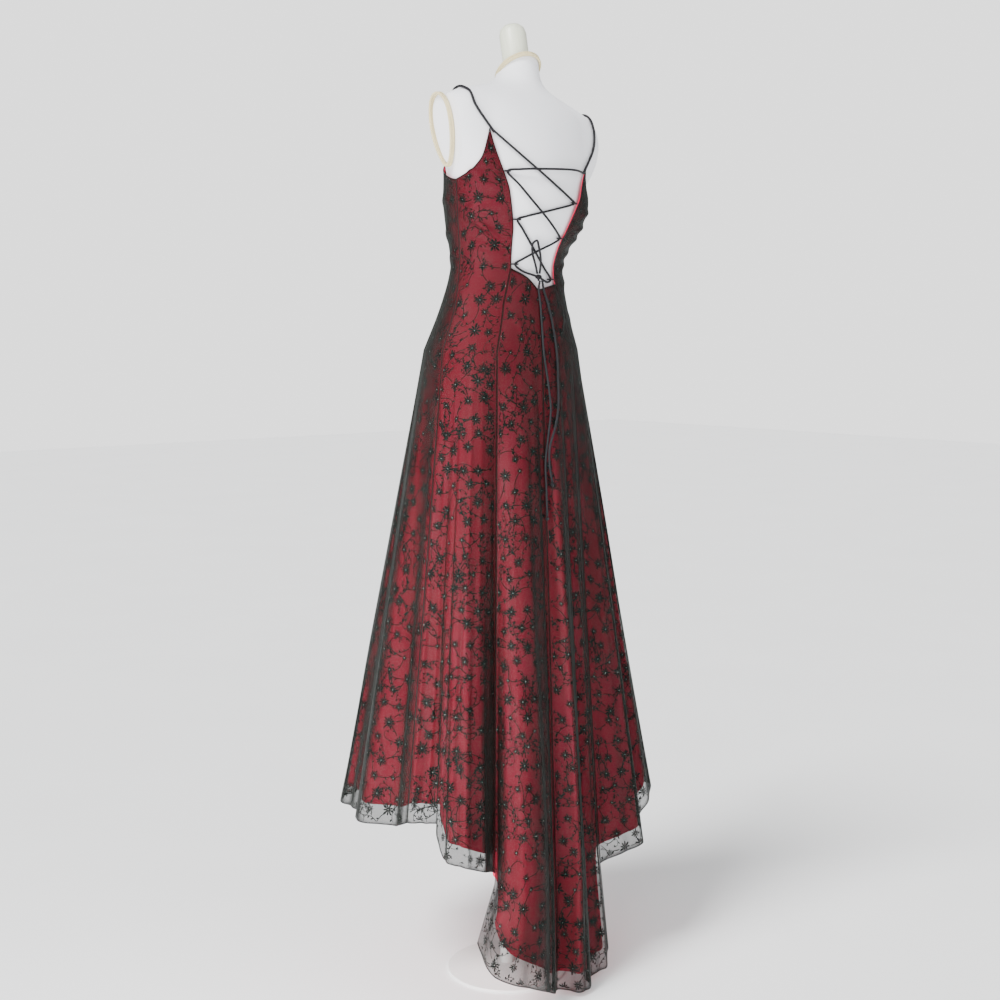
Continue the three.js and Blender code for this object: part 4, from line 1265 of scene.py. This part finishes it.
cream_braid = braid_material()
for name, side in (("left", 1), ("right", -1)):
    plate = add_mesh(f"arm_plate_{name}", plate_mesh(side), white_jersey, False)
    plate.data.shade_smooth()
    plate.data.set_sharp_from_angle(angle=math.radians(30))
    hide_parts(f"form_arm_plate_{name}")
    route = arm_outline(side, arm_braid_out, 1, arm_braid_margin, 260)
    wider = arm_outline(side, arm_braid_out, 1, arm_braid_margin + 0.001, 260)
    add_braid(f"arm_braid_{name}", route, wider - route, f"form_arm_trim_{name}")


def turned_mesh(profile, count):
    """A turned shape from radius and height pairs, from its foot to its top."""
    turn = np.linspace(0, 2 * math.pi, count, endpoint=False)
    vertices, flat = [], []
    for radius, height in profile:
        for a in turn:
            vertices.append((radius * math.cos(a), radius * math.sin(a), height))
            flat.append((radius * a, height))
    faces = []
    for j in range(len(profile) - 1):
        for k in range(count):
            n = (k + 1) % count
            faces.append(
                (j * count + k, j * count + n, (j + 1) * count + n, (j + 1) * count + k)
            )
    faces.append(tuple(range(count))[::-1])
    faces.append(tuple(range((len(profile) - 1) * count, len(profile) * count)))
    return np.array(vertices), faces, np.array(flat)


band_half_wide, band_half_long, band_forward, band_below = 0.0448, 0.0502, 0.0028, 0.004
circle = np.linspace(0, 2 * math.pi, 220, endpoint=False)[:, None]
band_out = np.array([-1, 0, 0]) * band_half_wide * np.sin(circle)
band_out = band_out + neck_upwards * (band_half_long * np.cos(circle) - band_forward)
band_route = neck_middle + band_out - neck_normal * band_below
add_braid("neck_braid", band_route, band_out, "form_neck_band")

# The cap leans forwards and stands on the neck's sloping face.
cap_radius, cap_above, cap_tilt, cap_forward = 0.028, 0.096, math.radians(16), -0.006
cap_profile = [
    (cap_radius, 0.040), (cap_radius, cap_above - 0.020), (cap_radius - 0.003, cap_above - 0.009),
    (cap_radius - 0.009, cap_above - 0.003), (cap_radius - 0.018, cap_above - 0.0005),
    (cap_radius - 0.026, cap_above),
]


def cap_mesh(count):
    """The cap as turned, tilted, its lowest ring cut to the slope that it stands on."""
    vertices, faces, flat = turned_mesh([(cap_radius, 0), *cap_profile], count)
    y = vertices[:, 1] * math.cos(cap_tilt) - vertices[:, 2] * math.sin(cap_tilt)
    z = vertices[:, 1] * math.sin(cap_tilt) + vertices[:, 2] * math.cos(cap_tilt)
    place = np.stack([vertices[:, 0], y + cap_forward, z + neck_cut_height], axis=1)
    axis = np.array([0, -math.sin(cap_tilt), math.cos(cap_tilt)])
    above = (place[:count] - neck_middle) @ neck_normal - 0.0004
    place[:count] -= axis * (above / (axis @ neck_normal))[:, None]
    return place, faces, flat


def cap_material():
    """Cream lacquered wood, with a faint grain."""
    material, nodes, links, shader = new_material(
        "cream_cap", Roughness=0.42, Coat_Weight=0.2, Coat_Roughness=0.3
    )
    grain = noise_on(nodes, links, flat_vector(nodes, links, (220, 18, 1)), 1.0)
    shade = ramp_of(nodes, links, grain, [
        (0.3, (0.66, 0.68, 0.54)), (0.7, (0.74, 0.76, 0.62)),
    ])
    links.new(shade, shader.inputs["Base Color"])
    bump_from(nodes, links, grain, 0.0002, 0.2, shader)
    return material


neck_cap = add_mesh("neck_cap", cap_mesh(64), cap_material())
neck_cap.data.set_sharp_from_angle(angle=math.radians(60))
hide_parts("form_neck_cap")


# Stand: a white painted steel tube in a round weighted foot, under the form.
def paint_material():
    """White powder paint with a fine orange-peel surface."""
    material, nodes, links, shader = new_material(
        "white_paint", Roughness=0.38, Coat_Weight=0.25, Coat_Roughness=0.25
    )
    where = nodes.new("ShaderNodeTexCoord")
    peel = noise_on(nodes, links, where.outputs["Object"], 650, 2.0)
    shade = ramp_of(nodes, links, noise_on(nodes, links, where.outputs["Object"], 12), [
        (0.3, (0.78, 0.775, 0.76)), (0.7, (0.83, 0.825, 0.81)),
    ])
    links.new(shade, shader.inputs["Base Color"])
    bump_from(nodes, links, peel, 0.0003, 0.25, shader)
    return material


white_paint = paint_material()
foot_radius, foot_edge, foot_thick = 0.125, 0.006, 0.014
pole_radius = 0.014
form_bottom = 1.130
pole_profile = [
    (pole_radius, foot_thick + 0.0003), (pole_radius, 0.5), (pole_radius, 0.9),
    (pole_radius, form_bottom - 0.0003),
]
foot_profile = [
    (foot_radius - 0.001, 0), (foot_radius, 0.001), (foot_radius, foot_edge - 0.001),
    (foot_radius - 0.001, foot_edge), (foot_radius * 0.4, foot_thick - 0.0004),
    (foot_radius * 0.38, foot_thick), (pole_radius + 0.001, foot_thick),
]
for name, profile, count, sharp in (
    ("pole", pole_profile, 48, 40), ("foot", foot_profile, 96, 30),
):
    piece = add_mesh(name, turned_mesh(profile, count), white_paint)
    piece.data.set_sharp_from_angle(angle=math.radians(sharp))
    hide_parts(f"stand_{name}")


# Floor and light: a plain white floor, a large soft key from the camera's upper left, a
# weaker fill from its right, a soft lamp low on the left for the skirt, and a pale
# surround.
half = 14
floor_mesh = bpy.data.meshes.new("floor")
floor_mesh.from_pydata(
    [(-half, -half, 0), (half, -half, 0), (half, half, 0), (-half, half, 0)], [],
    [(0, 1, 2, 3)],
)
floor = bpy.data.objects.new("floor", floor_mesh)
floor_paint, nodes, links, shader = new_material("floor_white", Roughness=0.85)
where = nodes.new("ShaderNodeTexCoord")
shade = ramp_of(nodes, links, noise_on(nodes, links, where.outputs["Object"], 2.0), [
    (0.3, (0.86, 0.86, 0.86)), (0.7, (0.88, 0.88, 0.88)),
])
links.new(shade, shader.inputs["Base Color"])
floor_mesh.materials.append(floor_paint)
bpy.context.collection.objects.link(floor)


def broad_light(name, turn, rise, spread, strength):
    """A broad soft lamp far away, at a turn measured as the camera's is."""
    data = bpy.data.lights.new(name, "SUN")
    data.energy, data.angle = strength, math.radians(spread)
    lamp = bpy.data.objects.new(name, data)
    lamp.rotation_euler = (math.radians(90 - rise), 0, math.radians(180 - turn))
    bpy.context.collection.objects.link(lamp)


broad_light("key", 84, 50, 20, 5.6)
broad_light("fill", 0, 30, 60, 1.1)
low_place, low_turn, low_rise = (1.75, 0.95, 0.75), 62, 2
low_data = bpy.data.lights.new("low_soft", "AREA")
low_data.energy, low_data.size = 66, 1.3
low_soft = bpy.data.objects.new("low_soft", low_data)
low_soft.location = low_place
low_soft.rotation_euler = (math.radians(90 + low_rise), 0, math.radians(180 - low_turn))
bpy.context.collection.objects.link(low_soft)
world = bpy.data.worlds.new("surround")
world.use_nodes = True
nodes, links = world.node_tree.nodes, world.node_tree.links
light, sight = nodes["Background"], nodes.new("ShaderNodeBackground")
light.inputs["Color"].default_value = (0.96, 0.98, 1.0, 1)
light.inputs["Strength"].default_value = 0.66
sight.inputs["Color"].default_value = (1, 1, 1, 1)
sight.inputs["Strength"].default_value = 2.0
ray, either = nodes.new("ShaderNodeLightPath"), nodes.new("ShaderNodeMixShader")
links.new(ray.outputs["Is Camera Ray"], either.inputs["Fac"])
links.new(light.outputs["Background"], either.inputs[1])
links.new(sight.outputs["Background"], either.inputs[2])
links.new(either.outputs["Shader"], nodes["World Output"].inputs["Surface"])
bpy.context.scene.world = world
